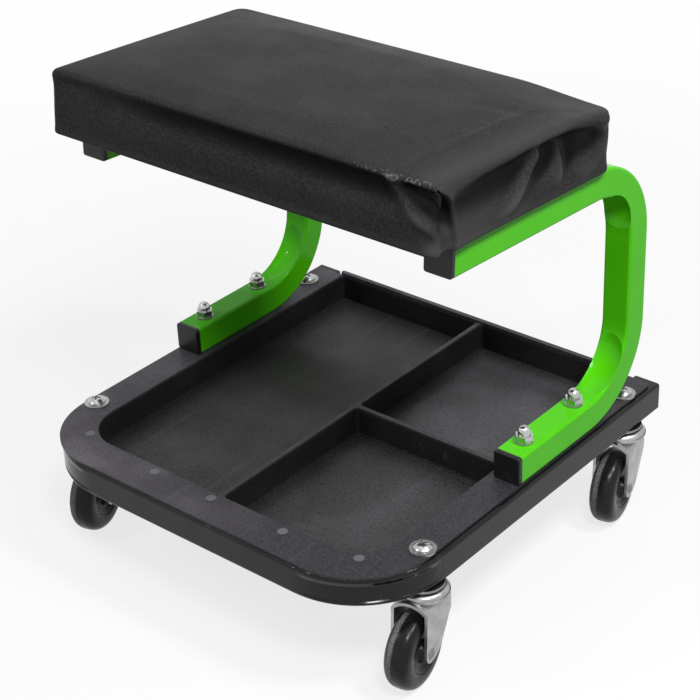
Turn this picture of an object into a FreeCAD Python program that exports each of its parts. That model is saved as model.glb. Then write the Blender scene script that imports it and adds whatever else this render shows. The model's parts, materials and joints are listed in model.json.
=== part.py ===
import FreeCAD, Part
import math
import os
import Sketcher

# A creeper seat: a padded seat on two bent square-tube legs, over a U-shaped
# tube base that holds a moulded tray and stands on four swivel casters.
# +X is the sitter's right, -Y the open front, +Z up. The origin is on the
# floor under the middle of the base. Lengths are in millimetres.

document = FreeCAD.newDocument("creeper_seat")
sheet = document.addObject("Spreadsheet::Sheet", "sizes")


class Size:
    """A number together with the sheet expression that gives it."""

    def __init__(self, value, text):
        self.value = float(value)
        self.text = text

    def combine(self, other, sign, swapped=False):
        if not isinstance(other, Size):
            other = Size(other, repr(other))
        first, second = (other, self) if swapped else (self, other)
        if sign == "+":
            value = first.value + second.value
        elif sign == "-":
            value = first.value - second.value
        elif sign == "*":
            value = first.value * second.value
        else:
            value = first.value / second.value
        return Size(value, f"({first.text} {sign} {second.text})")

    def __add__(self, other):
        return self.combine(other, "+")

    def __radd__(self, other):
        return self.combine(other, "+", swapped=True)

    def __sub__(self, other):
        return self.combine(other, "-")

    def __rsub__(self, other):
        return self.combine(other, "-", swapped=True)

    def __mul__(self, other):
        return self.combine(other, "*")

    def __rmul__(self, other):
        return self.combine(other, "*", swapped=True)

    def __truediv__(self, other):
        return self.combine(other, "/")

    def __neg__(self):
        return Size(-self.value, f"(-1 * {self.text})")

    def root(self):
        return Size(math.sqrt(self.value), f"sqrt({self.text})")


ZERO = Size(0, "0")


def sine(angle):
    return Size(math.sin(math.radians(angle.value)), f"sin({angle.text} * 1deg)")


def cosine(angle):
    return Size(math.cos(math.radians(angle.value)), f"cos({angle.text} * 1deg)")


def tangent(angle):
    return Size(math.tan(math.radians(angle.value)), f"tan({angle.text} * 1deg)")


rows = []


def dimension(alias, value):
    """Puts a driving dimension in the next row of the sheet under its alias."""
    rows.append(alias)
    cell = f"B{len(rows)}"
    sheet.set(f"A{len(rows)}", alias.replace("_", " "))
    sheet.set(cell, str(value))
    sheet.setAlias(cell, alias)
    return Size(value, f"{sheet.Name}.{alias}")


# Square tube of the base and the legs
tube_width = dimension("tube_width", 25)
tube_wall = dimension("tube_wall", 1.5)
tube_corner = dimension("tube_corner", 2.5)
# Base frame
base_width = dimension("base_width", 378)
base_depth = dimension("base_depth", 378)
base_bend = dimension("base_bend", 67.5)
base_underside = dimension("base_underside", 85.5)
# Legs, set in from the base's sides and rear
leg_inset = dimension("leg_inset", 16.5)
leg_rear_inset = dimension("leg_rear_inset", 20.5)
lower_arm_length = dimension("lower_arm_length", 171.5)
leg_bend = dimension("leg_bend", 64)
leg_rise = dimension("leg_rise", 201)
seat_tilt = dimension("seat_tilt", 3.8)
# Dents that the bending left in the inner walls, and their pressing radius' offset
upper_dent = dimension("upper_dent", 7.5)
upper_dent_edge = dimension("upper_dent_edge", 5)
upper_dent_offset = dimension("upper_dent_offset", 24)
lower_dent = dimension("lower_dent", 4.5)
lower_dent_edge = dimension("lower_dent_edge", 1)
lower_dent_offset = dimension("lower_dent_offset", 20)
dent_margin = dimension("dent_margin", 0.5)
# Tube plugs
plug_flange = dimension("plug_flange", 4)
plug_depth = dimension("plug_depth", 14)
plug_rounding = dimension("plug_rounding", 1.4)
plug_clearance = dimension("plug_clearance", 0.1)
# Tray
rim_thickness = dimension("rim_thickness", 2)
rim_setback = dimension("rim_setback", 4.5)
rim_front_setback = dimension("rim_front_setback", 2)
rim_corner = dimension("rim_corner", 66)
rim_rear_corner = dimension("rim_rear_corner", 5)
mouth_inset = dimension("mouth_inset", 34)
mouth_front = dimension("mouth_front", 34.5)
mouth_rear = dimension("mouth_rear", 4.5)
mouth_corner = dimension("mouth_corner", 37)
tray_depth = dimension("tray_depth", 24.5)
tray_wall = dimension("tray_wall", 2)
tray_inner_corner = dimension("tray_inner_corner", 4)
divider_thickness = dimension("divider_thickness", 4)
divider_offset = dimension("divider_offset", 5)
cross_divider_offset = dimension("cross_divider_offset", 11.7)
rear_bead_width = dimension("rear_bead_width", 4.5)
rear_bead_height = dimension("rear_bead_height", 2.2)
rim_mark_diameter = dimension("rim_mark_diameter", 8.5)
rim_mark_height = dimension("rim_mark_height", 0.3)
rim_mark_inset = dimension("rim_mark_inset", 27.5)
rim_mark_corner_inset = dimension("rim_mark_corner_inset", 36)
rim_mark_corner_side = dimension("rim_mark_corner_side", 45)
# Seat, measured square to the upper arms; its side reaches past the leg's middle
seat_side_reach = dimension("seat_side_reach", 17.5)
seat_depth = dimension("seat_depth", 220.5)
seat_rear_gap = dimension("seat_rear_gap", 51.5)
seat_thickness = dimension("seat_thickness", 56)
seat_overhang = dimension("seat_overhang", 30)
seat_corner = dimension("seat_corner", 9)
seat_side_bow = dimension("seat_side_bow", 0.8)
seat_edge_round = dimension("seat_edge_round", 8)
seat_crown = dimension("seat_crown", 2.5)
seat_foot_round = dimension("seat_foot_round", 5)
seat_gap = dimension("seat_gap", 0.3)
cover_thickness = dimension("cover_thickness", 1.2)
cover_hem = dimension("cover_hem", 24)
board_thickness = dimension("board_thickness", 9)
board_inset = dimension("board_inset", 6.2)
staple_length = dimension("staple_length", 10)
staple_wire = dimension("staple_wire", 0.8)
staple_spacing = dimension("staple_spacing", 32)
# Fasteners of the legs, metric eight
bolt_diameter = dimension("bolt_diameter", 8)
bolt_clearance = dimension("bolt_clearance", 0.4)
nut_width = dimension("nut_width", 13)
nut_hex_height = dimension("nut_hex_height", 5.5)
nut_dome_diameter = dimension("nut_dome_diameter", 10.4)
nut_height = dimension("nut_height", 13.2)
bolt_head_height = dimension("bolt_head_height", 5.3)
leg_washer_diameter = dimension("leg_washer_diameter", 15)
leg_washer_thickness = dimension("leg_washer_thickness", 1.4)
leg_bolt_inset = dimension("leg_bolt_inset", 20)
leg_bolt_spacing = dimension("leg_bolt_spacing", 69)
# Corner screws that hold the casters
corner_washer_diameter = dimension("corner_washer_diameter", 21)
corner_washer_thickness = dimension("corner_washer_thickness", 1.5)
corner_head_diameter = dimension("corner_head_diameter", 14.5)
corner_head_height = dimension("corner_head_height", 4.6)
cross_slot_length = dimension("cross_slot_length", 7.6)
cross_slot_width = dimension("cross_slot_width", 1.6)
cross_slot_depth = dimension("cross_slot_depth", 2.6)
# Seat screws, metric six
seat_screw_diameter = dimension("seat_screw_diameter", 6)
seat_screw_head = dimension("seat_screw_head", 12)
seat_screw_head_height = dimension("seat_screw_head_height", 3.5)
seat_screw_front_inset = dimension("seat_screw_front_inset", 70)
seat_screw_rear_inset = dimension("seat_screw_rear_inset", 40.5)
tee_nut_barrel = dimension("tee_nut_barrel", 8.4)
tee_nut_flange = dimension("tee_nut_flange", 18)
tee_nut_sheet = dimension("tee_nut_sheet", 1)
# Casters, set in from the base's sides and ends
caster_inset = dimension("caster_inset", 14)
caster_front_inset = dimension("caster_front_inset", 73)
caster_rear_inset = dimension("caster_rear_inset", 32)
caster_trail = dimension("caster_trail", 18)
wheel_diameter = dimension("wheel_diameter", 65)
wheel_width = dimension("wheel_width", 22)
tread_rounding = dimension("tread_rounding", 5)
tyre_bore = dimension("tyre_bore", 36)
hub_rim_width = dimension("hub_rim_width", 18.6)
hub_rim_wall = dimension("hub_rim_wall", 3)
hub_web = dimension("hub_web", 7)
hub_boss = dimension("hub_boss", 16)
sleeve_diameter = dimension("sleeve_diameter", 9)
axle_diameter = dimension("axle_diameter", 6)
axle_head = dimension("axle_head", 9.6)
axle_head_height = dimension("axle_head_height", 2.2)
# The fork: a sheet bent to an arch with a domed bell on its crown
fork_gap = dimension("fork_gap", 26.4)
fork_sheet = dimension("fork_sheet", 2.5)
fork_eye = dimension("fork_eye", 7.6)
fork_front = dimension("fork_front", -23)
fork_rear = dimension("fork_rear", 13.7)
fork_shoulder = dimension("fork_shoulder", 57)
fork_knee_reach = dimension("fork_knee_reach", 16.5)
fork_knee_rise = dimension("fork_knee_rise", 9.1)
crown_height = dimension("crown_height", 76.9)
crown_rise = dimension("crown_rise", 7.4)
bell_diameter = dimension("bell_diameter", 39.2)
bell_foot = dimension("bell_foot", 70.6)
bell_rim = dimension("bell_rim", 75.9)
bell_collar = dimension("bell_collar", 0.7)
bell_collar_height = dimension("bell_collar_height", 1.5)
bell_top = dimension("bell_top", 81.6)
bell_round = dimension("bell_round", 4)
race_diameter = dimension("race_diameter", 33)
race_thickness = dimension("race_thickness", 2.2)
ball_circle = dimension("ball_circle", 24)
ball_diameter = dimension("ball_diameter", 3)
kingpin_diameter = dimension("kingpin_diameter", 12)
kingpin_flange = dimension("kingpin_flange", 17)
kingpin_flange_thickness = dimension("kingpin_flange_thickness", 1.6)
running_clearance = dimension("running_clearance", 0.06)
side_clearance = dimension("side_clearance", 0.4)
overrun = dimension("overrun", 5)
document.recompute()

ball_count = 12
# How far each caster is turned from straight ahead, in degrees
swivel_front_right = dimension("swivel_front_right", 9)
swivel_rear_right = dimension("swivel_rear_right", 12)
swivel_front_left = dimension("swivel_front_left", 17)
swivel_rear_left = dimension("swivel_rear_left", 12)
# Places of the three round marks along the front rim, in half mouth widths
rim_mark_shares = (-0.39, 0.01, 0.49)

# Heights and places that follow from the driving dimensions
half_tube = tube_width / 2
base_top = base_underside + tube_width
rim_top = base_top + rim_thickness
rail_offset = base_width / 2 - half_tube
base_half_depth = base_depth / 2
mouth_width = base_width - mouth_inset * 2
leg_offset = base_width / 2 - leg_inset
leg_rear_face = base_half_depth - leg_rear_inset
leg_front_end = leg_rear_face - lower_arm_length
caster_offset = base_width / 2 - caster_inset
caster_front = caster_front_inset - base_half_depth
caster_rear = base_half_depth - caster_rear_inset
seat_width = (leg_offset + seat_side_reach) * 2
upper_arm_length = seat_depth - seat_overhang + seat_rear_gap
lower_arm_axis = rim_top + half_tube
post_axis = leg_rear_face - half_tube
upper_corner_height = lower_arm_axis + leg_rise
wheel_radius = wheel_diameter / 2
tilt_sine = sine(seat_tilt)
tilt_cosine = cosine(seat_tilt)
# The upper arm's front end: middle of its section, then of its top face
arm_end_y = post_axis - upper_arm_length * tilt_cosine
arm_end_z = upper_corner_height + upper_arm_length * tilt_sine
arm_top_y = arm_end_y + half_tube * tilt_sine
arm_top_z = arm_end_z + half_tube * tilt_cosine

made = []


def keep(piece, label):
    """Names a finished piece and lists it for export."""
    piece.Label = label
    made.append(piece)
    return piece


def new_body(name):
    return document.addObject("PartDesign::Body", name)


def origin_plane(body, role):
    for feature in body.Origin.OriginFeatures:
        if feature.Role == role:
            return feature
    raise ValueError(role)


def new_sketch(body, role, offset=None, tilt=None, shift=None):
    """A sketch on one of the body's planes, moved along the plane's normal."""
    name = f"{body.Name}_sketch"
    sketch = body.newObject("Sketcher::SketchObject", name)
    sketch.AttachmentSupport = [(origin_plane(body, role), "")]
    sketch.MapMode = "FlatFace"
    turn = FreeCAD.Rotation()
    if tilt is not None:
        turn = FreeCAD.Rotation(FreeCAD.Vector(1, 0, 0), tilt.value)
    sketch.AttachmentOffset = FreeCAD.Placement(FreeCAD.Vector(), turn)
    if offset is not None:
        sketch.setExpression("AttachmentOffset.Base.z", offset.text)
    if shift is not None:
        sketch.setExpression("AttachmentOffset.Base.y", shift.text)
    return sketch


def pin_point(sketch, geometry, end, point):
    """Fixes one end of a line or arc at a place given by two sizes."""
    for kind, size in (("DistanceX", point[0]), ("DistanceY", point[1])):
        index = sketch.addConstraint(Sketcher.Constraint(kind, -1, 1, geometry, end, size.value))
        sketch.setExpression(f"Constraints[{index}]", size.text)


def fix_radius(sketch, geometry, radius):
    index = sketch.addConstraint(Sketcher.Constraint("Radius", geometry, radius.value))
    sketch.setExpression(f"Constraints[{index}]", radius.text)


def flat(point):
    return FreeCAD.Vector(point[0].value, point[1].value, 0)


def arc_through(start, end, radius, left):
    """A minor arc of the radius from start to end, turning left or right."""
    first = flat(start)
    last = flat(end)
    chord = last - first
    half = chord.Length / 2
    rise = radius.value - math.sqrt(max(radius.value ** 2 - half ** 2, 0))
    side = FreeCAD.Vector(chord.y, -chord.x, 0).normalize()
    if not left:
        side = side * -1
    return Part.Arc(first, (first + last) / 2 + side * rise, last)


def add_chain(sketch, parts, closed=True):
    """Draws a chain of ("line", start, end) and ("arc", start, end, radius, left)."""
    first = None
    previous = None
    for part in parts:
        if part[0] == "line":
            index = sketch.addGeometry(Part.LineSegment(flat(part[1]), flat(part[2])))
            start, end = 1, 2
        else:
            index = sketch.addGeometry(arc_through(*part[1:]))
            start, end = (1, 2) if part[4] else (2, 1)
            fix_radius(sketch, index, part[3])
        if previous is None:
            first = (index, start)
        else:
            sketch.addConstraint(Sketcher.Constraint("Coincident", *previous, index, start))
        if previous is None and not closed:
            pin_point(sketch, index, start, part[1])
        if part is parts[-1] and closed:
            sketch.addConstraint(Sketcher.Constraint("Coincident", index, end, *first))
        pin_point(sketch, index, end, part[2])
        previous = (index, end)


def add_polygon(sketch, points):
    """A closed outline of straight lines through the points."""
    ends = points[1:] + points[:1]
    add_chain(sketch, [("line", start, end) for start, end in zip(points, ends)])


def add_rectangle(sketch, low, high, radius=None):
    """An upright rectangle, with four equal rounded corners where a radius is given."""
    if radius is None:
        add_polygon(sketch, [low, (high[0], low[1]), high, (low[0], high[1])])
        return
    add_chain(sketch, rounded_outline(low, high, (radius, radius, radius, radius)))


def rounded_outline(low, high, radii):
    """A rectangle's chain, counterclockwise from its lower left, one radius a corner."""
    corners = [(low, (0, 1), (1, 0)), ((high[0], low[1]), (-1, 0), (0, 1)),
               (high, (0, -1), (-1, 0)), ((low[0], high[1]), (1, 0), (0, -1))]
    chain = []
    arrivals = []
    departures = []
    for (corner, entry, leave), radius in zip(corners, radii):
        arrivals.append((corner[0] + radius * entry[0], corner[1] + radius * entry[1]))
        departures.append((corner[0] + radius * leave[0], corner[1] + radius * leave[1]))
    for place in range(len(corners)):
        chain.append(("arc", arrivals[place], departures[place], radii[place], True))
        chain.append(("line", departures[place], arrivals[(place + 1) % len(corners)]))
    return chain


def add_circle(sketch, centre, radius):
    index = sketch.addGeometry(Part.Circle(flat(centre), FreeCAD.Vector(0, 0, 1), radius.value))
    pin_point(sketch, index, 3, centre)
    fix_radius(sketch, index, radius)


def add_hexagon(sketch, centre, width):
    """A regular hexagon of the given width across its flats."""
    corner = width / math.sqrt(3)
    points = []
    for step in range(6):
        angle = math.radians(60 * step)
        points.append((centre[0] + corner * math.cos(angle), centre[1] + corner * math.sin(angle)))
    add_polygon(sketch, points)


def extrude(body, sketch, kind, length, backwards=False):
    """Pads or pockets a sketch by a length."""
    feature = body.newObject(f"PartDesign::{kind}", f"{body.Name}_{kind.lower()}")
    feature.Profile = sketch
    feature.setExpression("Length", length.text)
    feature.Reversed = backwards
    sketch.Visibility = False
    return feature


def pad(body, sketch, length, backwards=False):
    return extrude(body, sketch, "Pad", length, backwards)


def pocket(body, sketch, length, backwards=False):
    return extrude(body, sketch, "Pocket", length, backwards)


def spin(body, sketch, kind="Revolution", axis="V_Axis"):
    """Turns a sketch once round one of its own axes."""
    feature = body.newObject(f"PartDesign::{kind}", f"{body.Name}_{kind.lower()}")
    feature.Profile = sketch
    feature.ReferenceAxis = (sketch, [axis])
    feature.Angle = 360
    return feature


def sweep(body, profile, path, kind="AdditivePipe"):
    feature = body.newObject(f"PartDesign::{kind}", f"{body.Name}_pipe")
    feature.Profile = (profile, [""])
    feature.Spine = (path, [f"Edge{place + 1}" for place in range(path.GeometryCount)])
    return feature


def round_edges(body, radius, wanted):
    """Fillets the edges of the body's last feature that the test picks."""
    document.recompute()
    tip = body.Tip
    names = [f"Edge{place + 1}" for place, edge in enumerate(tip.Shape.Edges) if wanted(edge)]
    fillet = body.newObject("PartDesign::Fillet", f"{body.Name}_fillet")
    fillet.Base = (tip, names)
    fillet.setExpression("Radius", radius.text)
    return fillet


def place_body(body, base, axis=None, angle=None):
    """Puts a body at a place, turned by an angle about an axis."""
    if angle is not None:
        turn = FreeCAD.Rotation(FreeCAD.Vector(*axis), angle.value)
        body.Placement = FreeCAD.Placement(FreeCAD.Vector(), turn)
    for letter, size in zip("xyz", base):
        body.setExpression(f"Placement.Base.{letter}", size.text)


def copies(master, label, places):
    """Repeats a master body as separate solids in one piece, at the given placements."""
    document.recompute()
    solids = []
    for place in places:
        solid = master.Shape.copy()
        solid.Placement = place.multiply(master.Placement)
        solids.append(solid)
    piece = document.addObject("Part::Feature", label)
    piece.Shape = Part.makeCompound(solids)
    return keep(piece, label)


def at(x_size, y_size, z_size, turn=None):
    base = FreeCAD.Vector(x_size.value, y_size.value, z_size.value)
    return FreeCAD.Placement(base, turn or FreeCAD.Rotation())


def tube_profile(sketch, centre):
    """The section of the square tube: rounded outside, square inside."""
    low = (centre[0] - half_tube, centre[1] - half_tube)
    high = (centre[0] + half_tube, centre[1] + half_tube)
    add_rectangle(sketch, low, high, tube_corner)
    low = (low[0] + tube_wall, low[1] + tube_wall)
    high = (high[0] - tube_wall, high[1] - tube_wall)
    add_rectangle(sketch, low, high)


def make_base_frame():
    """One square tube bent to a U, open at the rear, with its bolt holes."""
    body = new_body("base_frame")
    axis_height = base_underside + half_tube
    left = -rail_offset
    front = half_tube - base_half_depth
    profile = new_sketch(body, "XZ_Plane", -base_half_depth)
    tube_profile(profile, (left, axis_height))
    path = new_sketch(body, "XY_Plane", axis_height)
    add_chain(path, [
        ("line", (left, base_half_depth), (left, front + base_bend)),
        ("arc", (left, front + base_bend), (left + base_bend, front), base_bend, True),
        ("line", (left + base_bend, front), (rail_offset - base_bend, front)),
        ("arc", (rail_offset - base_bend, front), (rail_offset, front + base_bend), base_bend, True),
        ("line", (rail_offset, front + base_bend), (rail_offset, base_half_depth)),
    ], closed=False)
    sweep(body, profile, path)
    holes = new_sketch(body, "XY_Plane", base_top + overrun)
    for side in (-1, 1):
        for place in leg_bolt_places():
            add_circle(holes, (leg_offset * side, place), bolt_diameter / 2 + bolt_clearance)
        for place in (caster_front, caster_rear):
            add_circle(holes, (caster_offset * side, place), bolt_diameter / 2 + bolt_clearance)
    pocket(body, holes, tube_width + overrun * 2)
    keep(body, "base_frame")


def leg_bolt_places():
    first = leg_front_end + leg_bolt_inset
    return (first, first + leg_bolt_spacing)


def seat_screw_places():
    """Distances of the seat's screws from the upper arms' front ends."""
    first = seat_screw_front_inset - seat_overhang
    return (first, seat_depth - seat_overhang - seat_screw_rear_inset)


def press_dent(body, offset, centre, direction, shift, depth, edge_depth):
    """Presses a bowed dent into a bend's inner wall.

    The cut is round about an axis along X, moved from the bend's centre
    towards the wall, and a little deeper in the wall's middle than at its edges.
    """
    axis_y = centre[0] + shift * direction[0]
    axis_z = centre[1] + shift * direction[1]
    bow = depth - edge_depth
    half = half_tube + dent_margin
    middle = leg_bend - half_tube + depth - shift
    edge = middle - bow
    arc = (half * half + bow * bow) / (bow * 2)
    tool = new_sketch(body, "XZ_Plane", -axis_y, shift=axis_z)
    low = offset - half
    high = offset + half
    add_chain(tool, [
        ("line", (low, ZERO), (high, ZERO)),
        ("line", (high, ZERO), (high, edge)),
        ("arc", (high, edge), (low, edge), arc, True),
        ("line", (low, edge), (low, ZERO)),
    ])
    spin(body, tool, "Groove", "H_Axis")


def make_leg(label, side):
    """A square tube bent to a C: lower arm, post and the tilted upper arm."""
    body = new_body(label)
    offset = leg_offset * side
    half_turn = (90 - seat_tilt) / 2
    upper_tangent = leg_bend * tangent(half_turn)
    bend_end_y = post_axis - upper_tangent * tilt_cosine
    bend_end_z = upper_corner_height + upper_tangent * tilt_sine
    bend_start = (post_axis - leg_bend, lower_arm_axis)
    post_start = (post_axis, lower_arm_axis + leg_bend)
    post_end = (post_axis, upper_corner_height - upper_tangent)
    arm_start = (bend_end_y, bend_end_z)
    path = new_sketch(body, "YZ_Plane", offset)
    add_chain(path, [
        ("line", (leg_front_end, lower_arm_axis), bend_start),
        ("arc", bend_start, post_start, leg_bend, True),
        ("line", post_start, post_end),
        ("arc", post_end, arm_start, leg_bend, True),
        ("line", arm_start, (arm_end_y, arm_end_z)),
    ], closed=False)
    profile = new_sketch(body, "XZ_Plane", -leg_front_end)
    low = (offset - half_tube, lower_arm_axis - half_tube)
    high = (offset + half_tube, lower_arm_axis + half_tube)
    add_rectangle(profile, low, high, tube_corner)
    sweep(body, profile, path)
    lower_centre = (bend_start[0], post_start[1])
    upper_centre = (bend_start[0], post_end[1])
    slant = Size(45, "45")
    press_dent(body, offset, lower_centre, (cosine(slant), -sine(slant)),
               lower_dent_offset, lower_dent, lower_dent_edge)
    press_dent(body, offset, upper_centre, (cosine(half_turn), sine(half_turn)),
               upper_dent_offset, upper_dent, upper_dent_edge)
    hollow_leg(body, offset, path, lower_centre, upper_centre, upper_tangent)
    holes = new_sketch(body, "XY_Plane", rim_top + tube_width + overrun)
    for place in leg_bolt_places():
        add_circle(holes, (offset, place), bolt_diameter / 2 + bolt_clearance)
    pocket(body, holes, tube_width + overrun * 2)
    lift = arm_top_z + overrun * tilt_cosine
    holes = new_sketch(body, "XY_Plane", lift, -seat_tilt, arm_top_y + overrun * tilt_sine)
    for place in seat_screw_places():
        add_circle(holes, (offset, place), seat_screw_diameter / 2 + bolt_clearance)
    pocket(body, holes, tube_width + overrun * 2)
    keep(body, label)


def hollow_leg(body, offset, path, lower_centre, upper_centre, upper_tangent):
    """The leg's hollow: flattened in the bends, where the inner wall is pressed in."""
    inside = half_tube - tube_wall
    flattened = inside * 2 - upper_dent
    duct = new_sketch(body, "XZ_Plane", -leg_front_end)
    low = (offset - inside, lower_arm_axis - inside)
    add_rectangle(duct, low, (offset + inside, low[1] + flattened))
    sweep(body, duct, path, "SubtractivePipe")
    high = (offset + inside, lower_arm_axis + inside)
    lower_arm = new_sketch(body, "XZ_Plane", -leg_front_end)
    add_rectangle(lower_arm, low, high)
    pocket(body, lower_arm, lower_centre[0] - leg_front_end)
    post = new_sketch(body, "XY_Plane", upper_centre[1])
    add_rectangle(post, (offset - inside, post_axis - inside), (offset + inside, post_axis + inside))
    pocket(body, post, upper_centre[1] - lower_centre[1])
    upper_arm = new_sketch(body, "XZ_Plane", -arm_end_y, -seat_tilt, arm_end_z)
    add_rectangle(upper_arm, (offset - inside, -inside), (offset + inside, inside))
    pocket(body, upper_arm, upper_arm_length - upper_tangent)


def make_plug(label, base, axis=None, angle=None):
    """A moulded plug: a square flange and a hollow shank; it points along -Y."""
    body = new_body(label)
    outline = new_sketch(body, "XZ_Plane")
    add_rectangle(outline, (-half_tube, -half_tube), (half_tube, half_tube), tube_corner)
    pad(body, outline, plug_flange)
    face_edge = plug_flange.value
    round_edges(body, plug_rounding,
                lambda edge: all(abs(point.Point.y + face_edge) < 1e-6 for point in edge.Vertexes))
    shank = half_tube - tube_wall - plug_clearance
    wall = tube_wall
    outline = new_sketch(body, "XZ_Plane")
    add_rectangle(outline, (-shank, -shank), (shank, shank))
    add_rectangle(outline, (wall - shank, wall - shank), (shank - wall, shank - wall))
    pad(body, outline, plug_depth, backwards=True)
    place_body(body, base, axis, angle)
    keep(body, label)


def make_plugs():
    for side, word in ((-1, "left"), (1, "right")):
        offset = leg_offset * side
        make_plug(f"{word}_lower_arm_plug", (offset, leg_front_end, lower_arm_axis))
        make_plug(f"{word}_upper_arm_plug", (offset, arm_end_y, arm_end_z), (1, 0, 0), -seat_tilt)
        rail_end = (rail_offset * side, base_half_depth, base_underside + half_tube)
        make_plug(f"{word}_rail_plug", rail_end, (0, 0, 1), Size(180, "180"))


def make_tray():
    """A moulded tray: a rim over the rails, a basin between them and two dividers."""
    body = new_body("tray")
    rim_half = base_width / 2 - rim_setback
    rim_front = rim_front_setback - base_half_depth
    outline = new_sketch(body, "XY_Plane", base_top)
    add_chain(outline, rounded_outline((-rim_half, rim_front), (rim_half, base_half_depth - plug_flange),
                                       (rim_corner, rim_corner, rim_rear_corner, rim_rear_corner)))
    pad(body, outline, rim_thickness)
    basin_half = mouth_width / 2 + tray_wall
    basin_front = mouth_front - tray_wall - base_half_depth
    basin_bottom = rim_top - tray_depth - tray_wall
    corner = mouth_corner + tray_wall
    inner_corner = tray_inner_corner + tray_wall
    outline = new_sketch(body, "XY_Plane", basin_bottom)
    add_chain(outline, rounded_outline((-basin_half, basin_front), (basin_half, base_half_depth),
                                       (corner, corner, inner_corner, inner_corner)))
    pad(body, outline, rim_top - basin_bottom)
    bead_half = mouth_width / 2 + tray_wall
    bead_front = base_half_depth - rear_bead_width
    outline = new_sketch(body, "XY_Plane", rim_top)
    add_chain(outline, rounded_outline((-bead_half, bead_front), (bead_half, base_half_depth),
                                       (tray_wall, tray_wall, tray_wall, tray_wall)))
    pad(body, outline, rear_bead_height)
    left = -mouth_width / 2
    right = mouth_width / 2
    front = mouth_front - base_half_depth
    rear = base_half_depth - mouth_rear
    divider_left = divider_offset - divider_thickness / 2
    divider_right = divider_offset + divider_thickness / 2
    cross_front = cross_divider_offset - divider_thickness / 2
    cross_rear = cross_divider_offset + divider_thickness / 2
    small = tray_inner_corner
    compartments = new_sketch(body, "XY_Plane", rim_top + overrun)
    add_chain(compartments, rounded_outline((left, front), (divider_left, rear),
                                            (mouth_corner, small, small, small)))
    add_chain(compartments, rounded_outline((divider_right, front), (right, cross_front),
                                            (small, mouth_corner, small, small)))
    add_chain(compartments, rounded_outline((divider_right, cross_rear), (right, rear),
                                            (small, small, small, small)))
    pocket(body, compartments, tray_depth + overrun)
    marks = new_sketch(body, "XY_Plane", rim_top - rim_thickness / 2)
    mark_radius = rim_mark_diameter / 2
    for share in rim_mark_shares:
        add_circle(marks, (mouth_width / 2 * share, rim_mark_inset - base_half_depth), mark_radius)
    for side in (-1, 1):
        reach = base_width / 2 - rim_mark_corner_side
        place = (reach * side, rim_mark_corner_inset - base_half_depth)
        add_circle(marks, place, mark_radius)
    pad(body, marks, rim_thickness / 2 + rim_mark_height)
    holes = new_sketch(body, "XY_Plane", rim_top + overrun)
    for side in (-1, 1):
        for place in leg_bolt_places():
            add_circle(holes, (leg_offset * side, place), bolt_diameter / 2 + bolt_clearance)
        for place in (caster_front, caster_rear):
            add_circle(holes, (caster_offset * side, place), bolt_diameter / 2 + bolt_clearance)
    pocket(body, holes, rim_thickness + overrun * 2)
    keep(body, "tray")


def seat_section(inset, height, pull=0.0):
    """One level outline of the pad, in seat coordinates.

    Four arcs bow inwards a little between four round corners. The inset
    draws the outline in all round.
    """
    half_x = seat_width.value / 2 - inset
    half_y = seat_depth.value / 2 - inset
    corner = max(seat_corner.value - inset * pull, cover_thickness.value)
    middle_y = half_y + inset - seat_overhang.value
    bow = seat_side_bow.value
    quarter = corner * (1 - math.cos(math.pi / 4))
    edges = []
    turns = ((1, 1), (-1, 1), (-1, -1), (1, -1))

    def corner_points(sign_x, sign_y):
        along_x = FreeCAD.Vector(sign_x * (half_x - corner), middle_y + sign_y * half_y, height)
        along_y = FreeCAD.Vector(sign_x * half_x, middle_y + sign_y * (half_y - corner), height)
        bend = FreeCAD.Vector(sign_x * (half_x - quarter), middle_y + sign_y * (half_y - quarter), height)
        return along_x, bend, along_y

    for place, (sign_x, sign_y) in enumerate(turns):
        next_x, next_y = turns[(place + 1) % len(turns)]
        along_x, bend, along_y = corner_points(sign_x, sign_y)
        next_along_x, _, next_along_y = corner_points(next_x, next_y)
        if place % 2 == 0:
            start, end, leave, arrive = along_y, along_x, along_x, next_along_x
            inwards = FreeCAD.Vector(0, -sign_y * bow, 0)
        else:
            start, end, leave, arrive = along_x, along_y, along_y, next_along_y
            inwards = FreeCAD.Vector(-sign_x * bow, 0, 0)
        edges.append(Part.Arc(start, bend, end).toShape())
        edges.append(Part.Arc(leave, (leave + arrive) / 2 + inwards, arrive).toShape())
    return Part.Wire(edges)


def pad_form(skin, bottom):
    """The cushion's form: foot rounding, upright sides, soft edge and crown.

    The skin is how far the form lies inside the cover's outer face.
    """
    top = seat_thickness.value - seat_crown.value
    edge = seat_edge_round.value
    foot = seat_foot_round.value
    sections = []
    foot_steps = 2
    for step in range(foot_steps + 1):
        angle = math.pi / 2 * step / foot_steps
        height = bottom + (foot - skin) * (1 - math.cos(angle))
        sections.append(seat_section(skin + (foot - skin) * (1 - math.sin(angle)), height, 0.5))
    edge_steps = 4
    for step in range(edge_steps + 1):
        angle = math.pi / 2 * step / edge_steps
        height = top - edge + (edge - skin) * math.sin(angle)
        sections.append(seat_section(skin + (edge - skin) * (1 - math.cos(angle)), height, 0.5))
    crown_steps = 3
    rise = seat_crown.value
    run = seat_depth.value / 2 - edge
    for step in range(1, crown_steps + 1):
        share = step / (crown_steps + 1)
        inset = edge + run * share
        height = top - skin + rise * (1 - (1 - share) ** 2)
        sections.append(seat_section(inset, height, 0.1))
    return Part.makeLoft(sections, True, True)


def seat_place():
    turn = FreeCAD.Rotation(FreeCAD.Vector(1, 0, 0), -seat_tilt.value)
    return at(ZERO, arm_top_y, arm_top_z, turn)


def keep_shape(shape, label, placement):
    piece = document.addObject("Part::Feature", label)
    piece.Shape = shape
    piece.Placement = placement
    return keep(piece, label)


def seat_plan(inset):
    """Low and high corners of the pad's plan, drawn in by the inset."""
    half = seat_width / 2 - inset
    return (-half, inset - seat_overhang), (half, seat_depth - seat_overhang - inset)


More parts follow.
